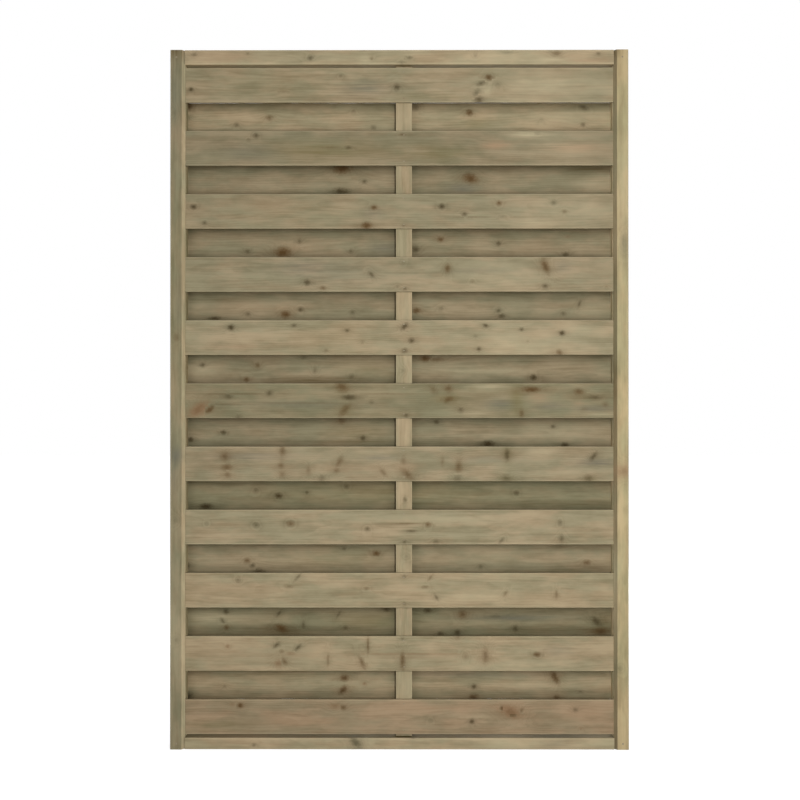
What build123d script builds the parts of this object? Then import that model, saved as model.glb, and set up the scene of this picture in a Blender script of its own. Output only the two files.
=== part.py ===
"""Framed hit-and-miss privacy fence panel in pressure-treated softwood.

X runs along the panel, Y from front to back, Z up. The origin is at the middle of the bottom edge.
Two grooved stiles and two tenoned rails make the frame. Thin horizontal boards are housed in the
stiles' grooves, one row in front of the centre muntin and one row behind it over the gaps.
"""

import os

from build123d import *

# Overall size
panel_width = 1180.0
panel_height = 1800.0
frame_depth = 63.0

# Frame timbers
stile_width = 38.0
top_rail_height = 38.0
bottom_rail_height = 30.0
stile_chamfer = 8.0
arris_radius = 2.5

# Centre muntin, set off the middle as the panel is built
muntin_width = 42.0
muntin_depth = 25.0
muntin_offset = 12.0

# Boards
board_width = 90.0
board_thickness = 9.0
board_arris = 1.5
front_board_count = 11
top_board_gap = 5.0
bottom_board_gap = 6.0

# Grooves in the stiles that house the board ends
groove_depth = 14.0
groove_clearance = 0.3
board_end_clearance = 2.0

# Mortise and tenon joints at the frame's corners
tenon_length = 30.0
tenon_thickness = 14.0
tenon_shoulder = 6.0
mortise_clearance = 0.2

# Stub tenons that hold the muntin between the rails
muntin_tenon_length = 12.0
muntin_shoulder = 5.0

# T-headed brads that hold the boards to the muntin
brad_head_width = 4.4
brad_head_depth = 1.2
brad_width = 2.0
brad_thickness = 1.8
brad_length = 30.0
brad_tip_length = 2.5
brad_edge_distance = 11.0

# Round wire pins through the rails' tenons
pin_head_radius = 2.4
pin_head_depth = 1.0
pin_radius = 1.2
pin_length = 48.0
pin_tip_length = 3.0
pin_edge_distance = 16.0

# Wire in wood: what a hole is wider and deeper than its fastener
fastener_fit = 0.05
hole_end_room = 0.5

# Places worked out from the sizes above
half_width = panel_width / 2
clear_width = panel_width - 2 * stile_width
board_length = clear_width + 2 * (groove_depth - board_end_clearance)
board_offset = (muntin_depth + board_thickness) / 2
board_face = muntin_depth / 2 + board_thickness
muntin_bottom = bottom_rail_height
muntin_top = panel_height - top_rail_height
lowest_board = bottom_rail_height + bottom_board_gap + board_width / 2
highest_board = panel_height - top_rail_height - top_board_gap - board_width / 2
board_pitch = (highest_board - lowest_board) / (front_board_count - 1)
brad_reach = board_width / 2 - brad_edge_distance
front_heights = [highest_board - index * board_pitch for index in range(front_board_count)]
back_heights = [height - board_pitch / 2 for height in front_heights[:-1]]

FRONT = -1
BACK = 1
LEFT = -1
RIGHT = 1


def board_face_plane(facing):
    """The outer face of one row of boards as a plane, with its X on the muntin's middle and its Y up."""
    return Plane(origin=(muntin_offset, facing * board_face, 0), x_dir=(-facing, 0, 0), z_dir=(0, facing, 0))


def brad_points(heights):
    """The points on a row's face plane of the two brads in each of the boards at these heights."""
    return [(0, height + reach) for height in heights for reach in (brad_reach, -brad_reach)]


def pin_plane(side, height):
    """The plane, outward on a stile's front face, of the pin through one tenon."""
    return Plane(
        origin=(side * (half_width - pin_edge_distance), -frame_depth / 2, height),
        x_dir=(1, 0, 0),
        z_dir=(0, -1, 0),
    )


rail_heights = {"top": panel_height - top_rail_height / 2, "bottom": bottom_rail_height / 2}
rail_sections = {"top": top_rail_height, "bottom": bottom_rail_height}
pin_planes = [pin_plane(side, height) for side in (LEFT, RIGHT) for height in rail_heights.values()]
rail_inner_faces = {"top": (muntin_top, 1), "bottom": (muntin_bottom, -1)}


def muntin_end_plane(rail):
    """The plane where the muntin's end meets a rail, facing into the rail."""
    height, into_rail = rail_inner_faces[rail]
    return Plane(origin=(muntin_offset, 0, height), x_dir=(1, 0, 0), z_dir=(0, 0, into_rail))


def make_stile(side, label):
    """An upright of the frame: chamfered inner edges, a groove for each row of boards, two mortises."""
    inner_face = side * (half_width - stile_width)
    with BuildPart() as stile:
        with BuildSketch(Plane.XY):
            with Locations((side * (half_width - stile_width / 2), 0)):
                Rectangle(stile_width, frame_depth)
            corners = vertices().sort_by(Axis.X, reverse=side == LEFT)
            chamfer(corners[:2], stile_chamfer)
            fillet(vertices().group_by(Axis.X)[0 if side == LEFT else -1], arris_radius)
            with Locations(
                (inner_face + side * groove_depth / 2, -board_offset),
                (inner_face + side * groove_depth / 2, board_offset),
            ):
                Rectangle(groove_depth, board_thickness + 2 * groove_clearance, mode=Mode.SUBTRACT)
        extrude(amount=panel_height)
        for rail, height in rail_heights.items():
            mouth = Plane(origin=(inner_face, 0, height), x_dir=(0, 1, 0), z_dir=(side, 0, 0))
            with BuildSketch(mouth):
                Rectangle(
                    tenon_thickness + 2 * mortise_clearance,
                    rail_sections[rail] - 2 * (tenon_shoulder - mortise_clearance),
                )
            extrude(amount=tenon_length + mortise_clearance, mode=Mode.SUBTRACT)
            with Locations(pin_plane(side, height)):
                CounterBoreHole(
                    radius=pin_radius + fastener_fit,
                    counter_bore_radius=pin_head_radius + fastener_fit,
                    counter_bore_depth=pin_head_depth,
                    depth=pin_length + hole_end_room,
                )
    stile.part.label = label
    return stile.part


def make_rail(rail):
    """A cross piece of the frame: eased edges, a tenon at each end, a mortise for the muntin."""
    height = rail_heights[rail]
    section = rail_sections[rail]
    with BuildPart() as part:
        with BuildSketch(Plane.YZ):
            with Locations((0, height)):
                RectangleRounded(frame_depth, section, arris_radius)
        extrude(amount=clear_width / 2, both=True)
        for end in (LEFT, RIGHT):
            shoulder = Plane(
                origin=(end * clear_width / 2, 0, height), x_dir=(0, 1, 0), z_dir=(end, 0, 0)
            )
            with BuildSketch(shoulder):
                Rectangle(tenon_thickness, section - 2 * tenon_shoulder)
            extrude(amount=tenon_length)
            with Locations(pin_plane(end, height)):
                Hole(radius=pin_radius + fastener_fit, depth=frame_depth)
        with BuildSketch(muntin_end_plane(rail)):
            Rectangle(
                muntin_width - 2 * (muntin_shoulder - mortise_clearance),
                muntin_depth - 2 * (muntin_shoulder - mortise_clearance),
            )
        extrude(amount=muntin_tenon_length + mortise_clearance, mode=Mode.SUBTRACT)
    part.part.label = f"{rail}_rail"
    return part.part


def make_muntin():
    """The upright batten between the rows of boards: a stub tenon at each end and the brads' holes."""
    with BuildPart() as muntin:
        with BuildSketch(Plane.XY.offset(muntin_bottom)):
            with Locations((muntin_offset, 0)):
                Rectangle(muntin_width, muntin_depth)
        extrude(amount=muntin_top - muntin_bottom)
        for rail in rail_heights:
            with BuildSketch(muntin_end_plane(rail)):
                Rectangle(muntin_width - 2 * muntin_shoulder, muntin_depth - 2 * muntin_shoulder)
            extrude(amount=muntin_tenon_length)
        for heights, facing in ((front_heights, FRONT), (back_heights, BACK)):
            with BuildSketch(board_face_plane(facing)):
                with Locations(brad_points(heights)):
                    Rectangle(brad_width + 2 * fastener_fit, brad_thickness + 2 * fastener_fit)
            extrude(amount=-brad_length - hole_end_room, mode=Mode.SUBTRACT)
    muntin.part.label = "centre_muntin"
    return muntin.part


def make_board(height, facing, label):
    """One horizontal board with eased long edges and the two brad holes where it crosses the muntin."""
    with BuildPart() as board:
        with BuildSketch(Plane.YZ):
            with Locations((facing * board_offset, height)):
                Rectangle(board_thickness, board_width)
            chamfer(vertices(), board_arris)
        extrude(amount=board_length / 2, both=True)
        for hole_width, hole_depth in ((brad_head_width, brad_head_depth), (brad_width, board_thickness)):
            with BuildSketch(board_face_plane(facing)):
                with Locations(brad_points([height])):
                    Rectangle(hole_width + 2 * fastener_fit, brad_thickness + 2 * fastener_fit)
            extrude(amount=-hole_depth, mode=Mode.SUBTRACT)
    board.part.label = label
    return board.part


def make_brad():
    """A T-headed brad along -Z with a chisel point, the top of its head at the origin."""
    with BuildPart() as brad:
        with BuildSketch(Plane.XZ):
            with BuildLine():
                Polyline(
                    (0, 0),
                    (brad_head_width / 2, 0),
                    (brad_head_width / 2, -brad_head_depth),
                    (brad_width / 2, -brad_head_depth),
                    (brad_width / 2, brad_tip_length - brad_length),
                    (0, -brad_length),
                    close=True,
                )
            make_face()
            mirror(about=Plane.YZ)
        extrude(amount=brad_thickness / 2, both=True)
    return brad.part


def make_pin():
    """A flat-headed round wire pin along -Z, the top of its head at the origin."""
    with BuildPart() as pin:
        with BuildSketch(Plane.XZ):
            with BuildLine():
                Polyline(
                    (0, 0),
                    (pin_head_radius, 0),
                    (pin_head_radius, -pin_head_depth),
                    (pin_radius, -pin_head_depth),
                    (pin_radius, pin_tip_length - pin_length),
                    (0, -pin_length),
                    close=True,
                )
            make_face()
        revolve(axis=Axis.Z)
    return pin.part


def make_brads(heights, facing, label):
    """The brads of one row of boards, as separate solids in one node."""
    brad = make_brad()
    with BuildPart(board_face_plane(facing)) as brads:
        with Locations(brad_points(heights)):
            add(brad)
    brads.part.label = label
    return brads.part


def make_pins(label):
    """The pins of the frame's corner joints, as separate solids in one node."""
    pin = make_pin()
    with BuildPart() as pins:
        with Locations(pin_planes):
            add(pin)
    pins.part.label = label
    return pins.part


pieces = [
    make_stile(LEFT, "left_stile"),
    make_stile(RIGHT, "right_stile"),
    make_rail("top"),
    make_rail("bottom"),
    make_muntin(),
    make_brads(front_heights, FRONT, "front_board_brads"),
    make_brads(back_heights, BACK, "back_board_brads"),
    make_pins("frame_pins"),
]
for number, height in enumerate(front_heights, start=1):
    pieces.append(make_board(height, FRONT, f"front_board_{number:02d}"))
for number, height in enumerate(back_heights, start=1):
    pieces.append(make_board(height, BACK, f"back_board_{number:02d}"))

os.makedirs("parts", exist_ok=True)
for piece in pieces:
    export_step(piece, f"parts/{piece.label}.step")
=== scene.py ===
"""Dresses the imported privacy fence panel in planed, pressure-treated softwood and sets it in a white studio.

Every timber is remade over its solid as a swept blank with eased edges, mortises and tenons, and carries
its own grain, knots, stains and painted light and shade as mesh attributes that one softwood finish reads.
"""

import logging
import math
import random
from dataclasses import astuple, dataclass, field
from enum import Enum
from typing import Any, Iterable, Mapping, Optional, Sequence, Union

import bmesh
import bpy
import numpy as np
from mathutils import Euler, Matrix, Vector, noise


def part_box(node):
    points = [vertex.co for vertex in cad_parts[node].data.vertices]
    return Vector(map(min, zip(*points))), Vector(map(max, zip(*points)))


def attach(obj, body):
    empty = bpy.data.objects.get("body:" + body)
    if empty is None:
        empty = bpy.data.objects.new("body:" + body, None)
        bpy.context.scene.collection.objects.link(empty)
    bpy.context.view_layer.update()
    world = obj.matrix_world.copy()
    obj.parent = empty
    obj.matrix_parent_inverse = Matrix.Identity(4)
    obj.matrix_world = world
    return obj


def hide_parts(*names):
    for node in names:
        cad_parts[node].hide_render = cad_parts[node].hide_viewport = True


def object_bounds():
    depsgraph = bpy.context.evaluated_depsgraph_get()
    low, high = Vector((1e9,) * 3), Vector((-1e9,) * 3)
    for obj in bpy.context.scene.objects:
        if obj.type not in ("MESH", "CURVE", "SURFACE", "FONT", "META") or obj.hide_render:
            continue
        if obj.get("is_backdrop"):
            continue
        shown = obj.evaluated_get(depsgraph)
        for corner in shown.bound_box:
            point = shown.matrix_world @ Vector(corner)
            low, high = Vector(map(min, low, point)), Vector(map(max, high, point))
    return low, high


logging.basicConfig(level=logging.INFO, format="%(message)s")
LOG = logging.getLogger("fence_panel")

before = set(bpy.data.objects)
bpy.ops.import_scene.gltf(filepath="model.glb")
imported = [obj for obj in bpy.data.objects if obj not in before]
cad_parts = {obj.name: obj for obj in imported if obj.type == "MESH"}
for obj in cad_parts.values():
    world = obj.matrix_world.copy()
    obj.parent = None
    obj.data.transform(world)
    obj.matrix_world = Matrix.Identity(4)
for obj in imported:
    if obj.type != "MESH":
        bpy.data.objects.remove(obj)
CAD_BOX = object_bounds()

Colour = tuple[float, float, float, float]
Point = tuple[float, float]
Limits = tuple[float, float]
Content = Union["Value", float, Sequence[float]]

METRES = 0.001
PICTURE_SIZE = 800
HALF_PIXEL = 0.5
NOISE_MIDDLE = 0.5


def srgb(red: int, green: int, blue: int) -> Colour:
    """Turns a colour as it is seen on a screen into the linear one that a shader takes.

    The limit, the slope and the power below are those of the sRGB standard.

    Args:
        red: red from 0 to 255.
        green: green from 0 to 255.
        blue: blue from 0 to 255.

    Returns:
        The linear colour, opaque.
    """
    shares = [channel / 255 for channel in (red, green, blue)]
    linear = [s / 12.92 if s <= 0.04045 else ((s + 0.055) / 1.055) ** 2.4 for s in shares]
    return (linear[0], linear[1], linear[2], 1.0)


class Value:
    """A shader socket that takes part in Python arithmetic."""

    def __init__(self, bench: "Bench", socket: bpy.types.NodeSocket) -> None:
        """Keeps the socket and the bench that its nodes stand on."""
        self.bench = bench
        self.socket = socket

    def __add__(self, other: Content) -> "Value":
        """This value plus another."""
        return self.bench.math("ADD", self, other)

    def __radd__(self, other: Content) -> "Value":
        """Another value plus this one."""
        return self.bench.math("ADD", other, self)

    def __sub__(self, other: Content) -> "Value":
        """This value less another."""
        return self.bench.math("SUBTRACT", self, other)

    def __rsub__(self, other: Content) -> "Value":
        """Another value less this one."""
        return self.bench.math("SUBTRACT", other, self)

    def __mul__(self, other: Content) -> "Value":
        """This value times another."""
        return self.bench.math("MULTIPLY", self, other)

    def __rmul__(self, other: Content) -> "Value":
        """Another value times this one."""
        return self.bench.math("MULTIPLY", other, self)

    def __truediv__(self, other: Content) -> "Value":
        """This value over another."""
        return self.bench.math("DIVIDE", self, other)

    def __rtruediv__(self, other: Content) -> "Value":
        """Another value over this one."""
        return self.bench.math("DIVIDE", other, self)

    def __neg__(self) -> "Value":
        """This value with its sign turned."""
        return self.bench.math("MULTIPLY", self, -1.0)

    def root(self) -> "Value":
        """The square root."""
        return self.bench.math("SQRT", self)

    def fraction(self) -> "Value":
        """What is left past the whole number."""
        return self.bench.math("FRACT", self)

    def exponential(self) -> "Value":
        """The number e to this power."""
        return self.bench.math("EXPONENT", self)

    def least(self, other: Content) -> "Value":
        """The smaller of the two."""
        return self.bench.math("MINIMUM", self, other)

    def swing(self) -> "Value":
        """How far a noise is from its middle."""
        return self - NOISE_MIDDLE

    def step(self, low: float, high: float) -> "Value":
        """Makes a smooth step of this value.

        Args:
            low: where the step is 0.
            high: where it is 1, which may also lie below low.

        Returns:
            The step, from 0 to 1.
        """
        rising = low < high
        settings = {"interpolation_type": "SMOOTHSTEP"}
        sockets = {
            "Value": self,
            "From Min": min(low, high),
            "From Max": max(low, high),
            "To Min": 0.0 if rising else 1.0,
            "To Max": 1.0 if rising else 0.0,
        }
        return self.bench.output("ShaderNodeMapRange", settings, sockets)


@dataclass(frozen=True)
class Pattern:
    """A noise's waves for each unit of length along three axes, its octaves and the finer ones' share."""

    scale: tuple[float, float, float]
    detail: float = 2.0
    roughness: float = 0.5


class Bench:
    """One node tree and the few ways in which its nodes are made."""

    # The numbers of a Mix node's sockets for colours, which share their names with those for other kinds.
    MIX_SHARE = 0
    MIX_FIRST = 6
    MIX_SECOND = 7
    MIX_RESULT = 2

    def __init__(self, made: Union[bpy.types.Material, bpy.types.World]) -> None:
        """Clears the node tree and keeps it.

        Args:
            made: the new material or world that the tree belongs to.
        """
        made.use_nodes = True
        self.tree = made.node_tree
        self.tree.nodes.clear()

    def node(
        self,
        kind: str,
        settings: Optional[Mapping[str, Any]] = None,
        sockets: Optional[Mapping[Union[str, int], Content]] = None,
    ) -> bpy.types.Node:
        """Makes any node.

        Args:
            kind: the node's type.
            settings: its own properties, which are set first; stops are a colour ramp's.
            sockets: what its inputs hold, by name or number.

        Returns:
            The node.
        """
        made = self.tree.nodes.new(kind)
        for name, setting in (settings or {}).items():
            if name == "stops":
                self._set_stops(made.color_ramp, setting)
            else:
                setattr(made, name, setting)
        for name, content in (sockets or {}).items():
            self.feed(made.inputs[name], content)
        return made

    @staticmethod
    def _set_stops(ramp: bpy.types.ColorRamp, stops: Sequence[tuple[float, Colour]]) -> None:
        """Gives a ramp its stops, the first and last in the two that it comes with.

        Args:
            ramp: the colour ramp.
            stops: the places along it, in order, with their colours.
        """
        while len(ramp.elements) < len(stops):
            ramp.elements.new(0.5)
        for element, (position, colour) in zip(ramp.elements, stops):
            element.position = position
            element.color = colour

    def feed(self, socket: bpy.types.NodeSocket, content: Content) -> None:
        """Links a value to a socket, or writes a number or colour into it.

        Args:
            socket: the socket.
            content: what it is to hold.
        """
        if isinstance(content, Value):
            self.tree.links.new(content.socket, socket)
        else:
            socket.default_value = content

    def output(
        self,
        kind: str,
        settings: Optional[Mapping[str, Any]] = None,
        sockets: Optional[Mapping[Union[str, int], Content]] = None,
        name: Union[str, int] = 0,
    ) -> Value:
        """Makes any node and takes one of its outputs, by name or number, as a value."""
        return Value(self, self.node(kind, settings, sockets).outputs[name])

    def math(self, operation: str, *terms: Content) -> Value:
        """A Math node over numbers and values."""
        return self.output("ShaderNodeMath", {"operation": operation}, dict(enumerate(terms)))

    def vector(self, name: str) -> Value:
        """A vector attribute of the mesh."""
        return self.output("ShaderNodeAttribute", {"attribute_name": name}, name="Vector")

    def number(self, name: str) -> Value:
        """A number attribute of the mesh."""
        return self.output("ShaderNodeAttribute", {"attribute_name": name}, name="Fac")

    def split(self, place: Value) -> tuple[Value, Value, Value]:
        """The three numbers of a vector."""
        outputs = self.node("ShaderNodeSeparateXYZ", None, {0: place}).outputs
        return Value(self, outputs[0]), Value(self, outputs[1]), Value(self, outputs[2])

    def noise(self, place: Value, pattern: Pattern) -> Value:
        """Noise over a place that is first stretched along each axis.

        Args:
            place: the place, a vector.
            pattern: how coarse the noise is along each axis and how fine its detail.

        Returns:
            The noise from 0 to 1, mostly near its middle.
        """
        stretch = {0: place, 1: pattern.scale}
        sockets = {
            "Vector": self.output("ShaderNodeVectorMath", {"operation": "MULTIPLY"}, stretch),
            "Scale": 1.0,
            "Detail": pattern.detail,
            "Roughness": pattern.roughness,
        }
        return self.output("ShaderNodeTexNoise", {"noise_dimensions": "3D"}, sockets)

    def mix(self, share: Content, first: Content, second: Content, blend: str = "MIX") -> Value:
        """Mixes two colours.

        Args:
            share: how much of the second shows.
            first: the colour underneath.
            second: the colour laid over it.
            blend: the way in which they mix.

        Returns:
            The mixed colour.
        """
        settings = {"data_type": "RGBA", "blend_type": blend, "clamp_factor": True}
        sockets = {self.MIX_SHARE: share, self.MIX_FIRST: first, self.MIX_SECOND: second}
        return self.output("ShaderNodeMix", settings, sockets, self.MIX_RESULT)

    def ramp(self, share: Value, stops: Sequence[tuple[float, Colour]]) -> Value:
        """A colour from a ramp's stops."""
        return self.output("ShaderNodeValToRGB", {"stops": stops}, {0: share})

    def bump(self, height: Value, strength: float, depth: float) -> Value:
        """The normal that a height gives."""
        sockets = {"Strength": strength, "Distance": depth, "Height": height}
        return self.output("ShaderNodeBump", None, sockets)

    def surface(self, sockets: Mapping[str, Content]) -> None:
        """Ends a material in one shader whose inputs hold these."""
        shader = self.output("ShaderNodeBsdfPrincipled", None, sockets)
        self.node("ShaderNodeOutputMaterial", None, {"Surface": shader})

    def seen(self) -> Value:
        """Tells what the camera sees from what only lights the panel.

        Returns:
            1 for what is seen straight, in a mirror or through glass, and 0 for light.
        """
        outputs = self.node("ShaderNodeLightPath").outputs
        rays = ("Is Camera Ray", "Is Glossy Ray", "Is Transmission Ray")
        camera, glossy, through = (Value(self, outputs[ray]) for ray in rays)
        return (camera + glossy + through).least(1.0)


class KnotHue(Enum):
    """The colours that knots come in, each with its place on a ramp."""

    GREY = (0.0, srgb(100, 94, 72))
    DARK = (0.33, srgb(58, 47, 26))
    BROWN = (0.66, srgb(87, 62, 33))
    RED = (1.0, srgb(129, 99, 71))

    def __init__(self, place: float, colour: Colour) -> None:
        """Keeps the ramp's place and the colour there."""
        self.place = place
        self.colour = colour

    @classmethod
    def stops(cls) -> list[tuple[float, Colour]]:
        """The ramp's stops in order."""
        return [(hue.place, hue.colour) for hue in cls]


@dataclass(frozen=True)
class KnotField:
    """What the finish knows of the nearest knot at a place.

    Attributes:
        reach: the distance from it, which is 1 at its rim.
        smear: how far its stain along the grain shows there.
        depth: how dark it is.
        half_across: half its size across the grain.
    """

    reach: Value
    smear: Value
    depth: Value
    half_across: Value


@dataclass(frozen=True)
class SoftwoodFinish:
    """Planed softwood after pressure treatment: fine rings, fibres, knots, stains and eased edges.

    Each timber's own colour comes in as its tone attribute, which holds painted light or shade on the stiles'
    bevels and the frame's inner faces, and the pattern here varies it. The boards' inner faces take painted
    shade where the other row overlaps them. Lengths are in millimetres, a pattern's first axis runs along the
    grain, and limits are those of a smooth step.
    """

    name: str = "treated_softwood"
    early_wood: Colour = (1.07, 1.07, 1.07, 1.0)
    late_wood: Colour = (0.76, 0.74, 0.70, 1.0)
    greenish: Colour = (0.89, 0.93, 0.89, 1.0)
    tan: Colour = (1.10, 1.04, 1.00, 1.0)
    blush: Colour = srgb(164, 136, 107)
    pale: Colour = srgb(196, 182, 148)
    olive: Colour = srgb(112, 102, 66)
    bluing: Colour = srgb(102, 101, 90)
    stain: Colour = srgb(92, 74, 42)
    end_grain: Colour = (0.74, 0.70, 0.62, 1.0)
    # Painted shade: the colour that darkens the boards' overlapped margins and the wood beside the uprights.
    painted_shade_colour: Colour = (0.36, 0.36, 0.33, 1.0)

    # The clear wood: its streaks, bands and clouds, and the share that each has in the dark.
    fibres: Pattern = Pattern((0.010, 0.42, 0.42), 4.0, 0.62)
    bands: Pattern = Pattern((0.0028, 0.055, 0.055), 3.0, 0.55)
    clouds: Pattern = Pattern((0.0075, 0.022, 0.022), 3.0, 0.6)
    blotches: Pattern = Pattern((0.013, 0.036, 0.036), 3.0, 0.62)
    cloud_limits: Limits = (0.36, 0.64)
    late_share: float = 0.26
    fibre_share: float = 1.15
    band_share: float = 1.7
    blotch_share: float = 2.0
    even_share: float = 0.28

    # The growth rings, which wander, shiver and swell out round a knot.
    wandering: Pattern = Pattern((0.0030, 0.016, 0.016))
    shivering: Pattern = Pattern((0.012, 0.09, 0.09))
    wander: float = 26.0
    shiver: float = 1.6
    ring_gap: float = 4.6
    ring_rise: Limits = (0.30, 0.90)
    ring_fall: Limits = (1.0, 0.92)
    swell: float = 1.5
    swell_fade: float = 0.30

    # The knots: a ragged rim, a smear along the grain, a soft body and a dark core.
    knot_edges: Pattern = Pattern((0.16, 0.20, 0.16))
    raggedness: float = 0.9
    smear_along: float = 0.12
    smear_across: float = 0.8
    smear_raggedness: float = 0.8
    smear_strength: float = 0.42
    body_limits: Limits = (1.7, 0.1)
    body_strength: float = 0.48
    body_growth: float = 0.4
    core_limits: Limits = (0.75, 0.15)
    core_strength: float = 0.2

    # The patches, which the fibres break up, and the worn edges.
    patch_cover: float = 0.75
    patch_streaks: float = 2.2
    arris_wear: float = 0.22

    # The surface: how dull and how uneven it is.
    roughness: float = 0.72
    fibre_roughness: float = 0.16
    late_gloss: float = 0.12
    specular: float = 0.03
    fibre_height: float = 0.5
    late_sink: float = 0.25
    knot_sink: float = 0.6
    sink_limits: Limits = (1.1, 0.7)
    bump_strength: float = 0.35
    bump_depth: float = 0.0006

    def material(self) -> bpy.types.Material:
        """Makes the finish.

        Returns:
            The material that every timber of the panel shares.
        """
        made = bpy.data.materials.new(self.name)
        bench = Bench(made)
        grain = bench.vector("grain")
        fibre = bench.noise(grain, self.fibres)
        knot = self._knots(bench, grain)
        late = self._rings(bench, grain, knot)
        colour = self._wood(bench, grain, fibre, late)
        colour = self._patches(bench, colour, fibre)
        colour = self._knotted(bench, colour, knot)
        # Painted shade on the boards' inner faces, where the other row overlaps them and beside the uprights.
        colour = bench.mix(bench.number("painted_shade"), colour, self.painted_shade_colour, "MULTIPLY")
        colour = bench.mix(bench.number("cut_end"), colour, self.end_grain, "MULTIPLY")
        sunk = knot.reach.step(*self.sink_limits) * knot.depth * self.knot_sink
        height = fibre * self.fibre_height - late * self.late_sink - sunk
        bench.surface(
            {
                "Base Color": colour,
                "Roughness": self.roughness + fibre * self.fibre_roughness - late * self.late_gloss,
                "Specular IOR Level": self.specular,
                "Normal": bench.bump(height, self.bump_strength, self.bump_depth),
            }
        )
        return made

    def _knots(self, bench: Bench, grain: Value) -> KnotField:
        """Measures how far a place is from its nearest knot.

        Args:
            bench: the finish's node tree.
            grain: the place along, across and through the timber, in millimetres.

        Returns:
            The knot's field at the place.
        """
        along, across, _ = bench.split(grain)
        knot_along, knot_across, half_across = bench.split(bench.vector("knot_place"))
        half_along, lean, depth = bench.split(bench.vector("knot_shape"))
        up = across - knot_across
        over = (along - knot_along - lean * up) / half_along
        level = up / half_across
        ragged = bench.noise(grain, self.knot_edges).swing() * self.raggedness
        reach = (over * over + level * level).root() + ragged
        spread = over * over * self.smear_along + level * level * self.smear_across
        smear = -(spread + ragged * self.smear_raggedness)
        return KnotField(reach, smear.exponential(), depth, half_across)

    def _rings(self, bench: Bench, grain: Value, knot: KnotField) -> Value:
        """Draws the dense late wood of the growth rings, which bend round the knots.

        Args:
            bench: the finish's node tree.
            grain: the place along, across and through the timber, from its pith, in millimetres.
            knot: the nearest knot's field.

        Returns:
            The late wood's share, from 0 to 1.
        """
        _, across, through = bench.split(grain)
        wander = bench.noise(grain, self.wandering).swing() * self.wander
        shiver = bench.noise(grain, self.shivering).swing() * self.shiver
        bulge = (knot.reach * knot.reach * -self.swell_fade).exponential() * knot.half_across * self.swell
        radius = (across * across + through * through).root()
        ring = ((radius + wander + shiver + bulge) / self.ring_gap).fraction()
        return ring.step(*self.ring_rise) * ring.step(*self.ring_fall)

    def _wood(self, bench: Bench, grain: Value, fibre: Value, late: Value) -> Value:
        """Colours the clear wood.

        Args:
            bench: the finish's node tree.
            grain: the place in the timber.
            fibre: the fine streaks.
            late: the late wood's share.

        Returns:
            The timber's tone with its rings, streaks and broad bands.
        """
        band = bench.noise(grain, self.bands).swing() * self.band_share
        blotch = bench.noise(grain, self.blotches).swing() * self.blotch_share
        dark = late * self.late_share + fibre.swing() * self.fibre_share + band + blotch + self.even_share
        pattern = bench.mix(dark, self.early_wood, self.late_wood)
        cloud = bench.noise(grain, self.clouds).step(*self.cloud_limits)
        hue = bench.mix(cloud, self.greenish, self.tan)
        wood = bench.mix(1.0, bench.vector("tone"), pattern, "MULTIPLY")
        return bench.mix(1.0, wood, hue, "MULTIPLY")

    def _patches(self, bench: Bench, colour: Value, fibre: Value) -> Value:
        """Lays the stains and blushes over the wood, broken up by the fibres.

        Args:
            bench: the finish's node tree.
            colour: the wood's colour.
            fibre: the fine streaks.

        Returns:
            The colour with the patches.
        """
        blush, pale, olive = bench.split(bench.vector("warm_patch"))
        bluing, stain, arris = bench.split(bench.vector("cool_patch"))
        broken = self.patch_cover + fibre.swing() * self.patch_streaks
        for share, over in (
            (blush, self.blush),
            (pale, self.pale),
            (olive, self.olive),
            (bluing, self.bluing),
            (stain, self.stain),
        ):
            colour = bench.mix(share * broken, colour, over)
        return bench.mix(arris * self.arris_wear, colour, self.pale)

    def _knotted(self, bench: Bench, colour: Value, knot: KnotField) -> Value:
        """Sets the knots in the wood.

        Args:
            bench: the finish's node tree.
            colour: the wood's colour.
            knot: the nearest knot's field.

        Returns:
            The colour with the knots, each with a smear along the grain, a soft body and a dark core.
        """
        hue = bench.ramp(bench.number("knot_hue"), KnotHue.stops())
        smeared = bench.mix(knot.smear * knot.depth * self.smear_strength, colour, hue)
        strength = knot.depth * (self.body_strength + knot.depth * self.body_growth)
        body = bench.mix(knot.reach.step(*self.body_limits) * strength, smeared, hue)
        core = knot.reach.step(*self.core_limits) * knot.depth * self.core_strength
        return bench.mix(core, body, KnotHue.DARK.colour)


@dataclass(frozen=True)
class WireFinish:
    """Dull galvanised wire with a little rust, for the brads and pins."""

    name: str = "galvanised_wire"
    zinc: Colour = srgb(146, 136, 112)
    rust: Colour = srgb(120, 100, 74)
    clouds: Pattern = Pattern((260.0, 260.0, 260.0), 3.0, 0.6)
    rust_limits: Limits = (0.50, 0.66)
    metallic: float = 0.3
    rust_dulling: float = 0.25
    roughness: float = 0.48
    cloud_roughness: float = 0.3
    bump_strength: float = 0.3
    bump_depth: float = 0.0002

    def material(self) -> bpy.types.Material:
        """Makes the finish.

        Returns:
            The material of every fastener.
        """
        made = bpy.data.materials.new(self.name)
        bench = Bench(made)
        cloud = bench.noise(bench.output("ShaderNodeTexCoord", name="Object"), self.clouds)
        rusted = cloud.step(*self.rust_limits)
        bench.surface(
            {
                "Base Color": bench.mix(rusted, self.zinc, self.rust),
                "Metallic": self.metallic - rusted * self.rust_dulling,
                "Roughness": self.roughness + cloud * self.cloud_roughness,
                "Normal": bench.bump(cloud, self.bump_strength, self.bump_depth),
            }
        )
        return made


def solid_box(node: str) -> tuple[tuple[float, ...], tuple[float, ...]]:
    """A solid's lowest and highest corners in millimetres."""
    low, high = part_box(node)
    return tuple(value / METRES for value in low), tuple(value / METRES for value in high)


def put_in_scene(name: str, data: bpy.types.ID) -> bpy.types.Object:
    """Makes an object of a mesh, a lamp or a camera and puts it in the scene.

    Args:
        name: the object's name.
        data: the mesh, lamp or camera.

    Returns:
        The object.
    """
    made = bpy.data.objects.new(name, data)
    bpy.context.scene.collection.objects.link(made)
    return made


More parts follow.
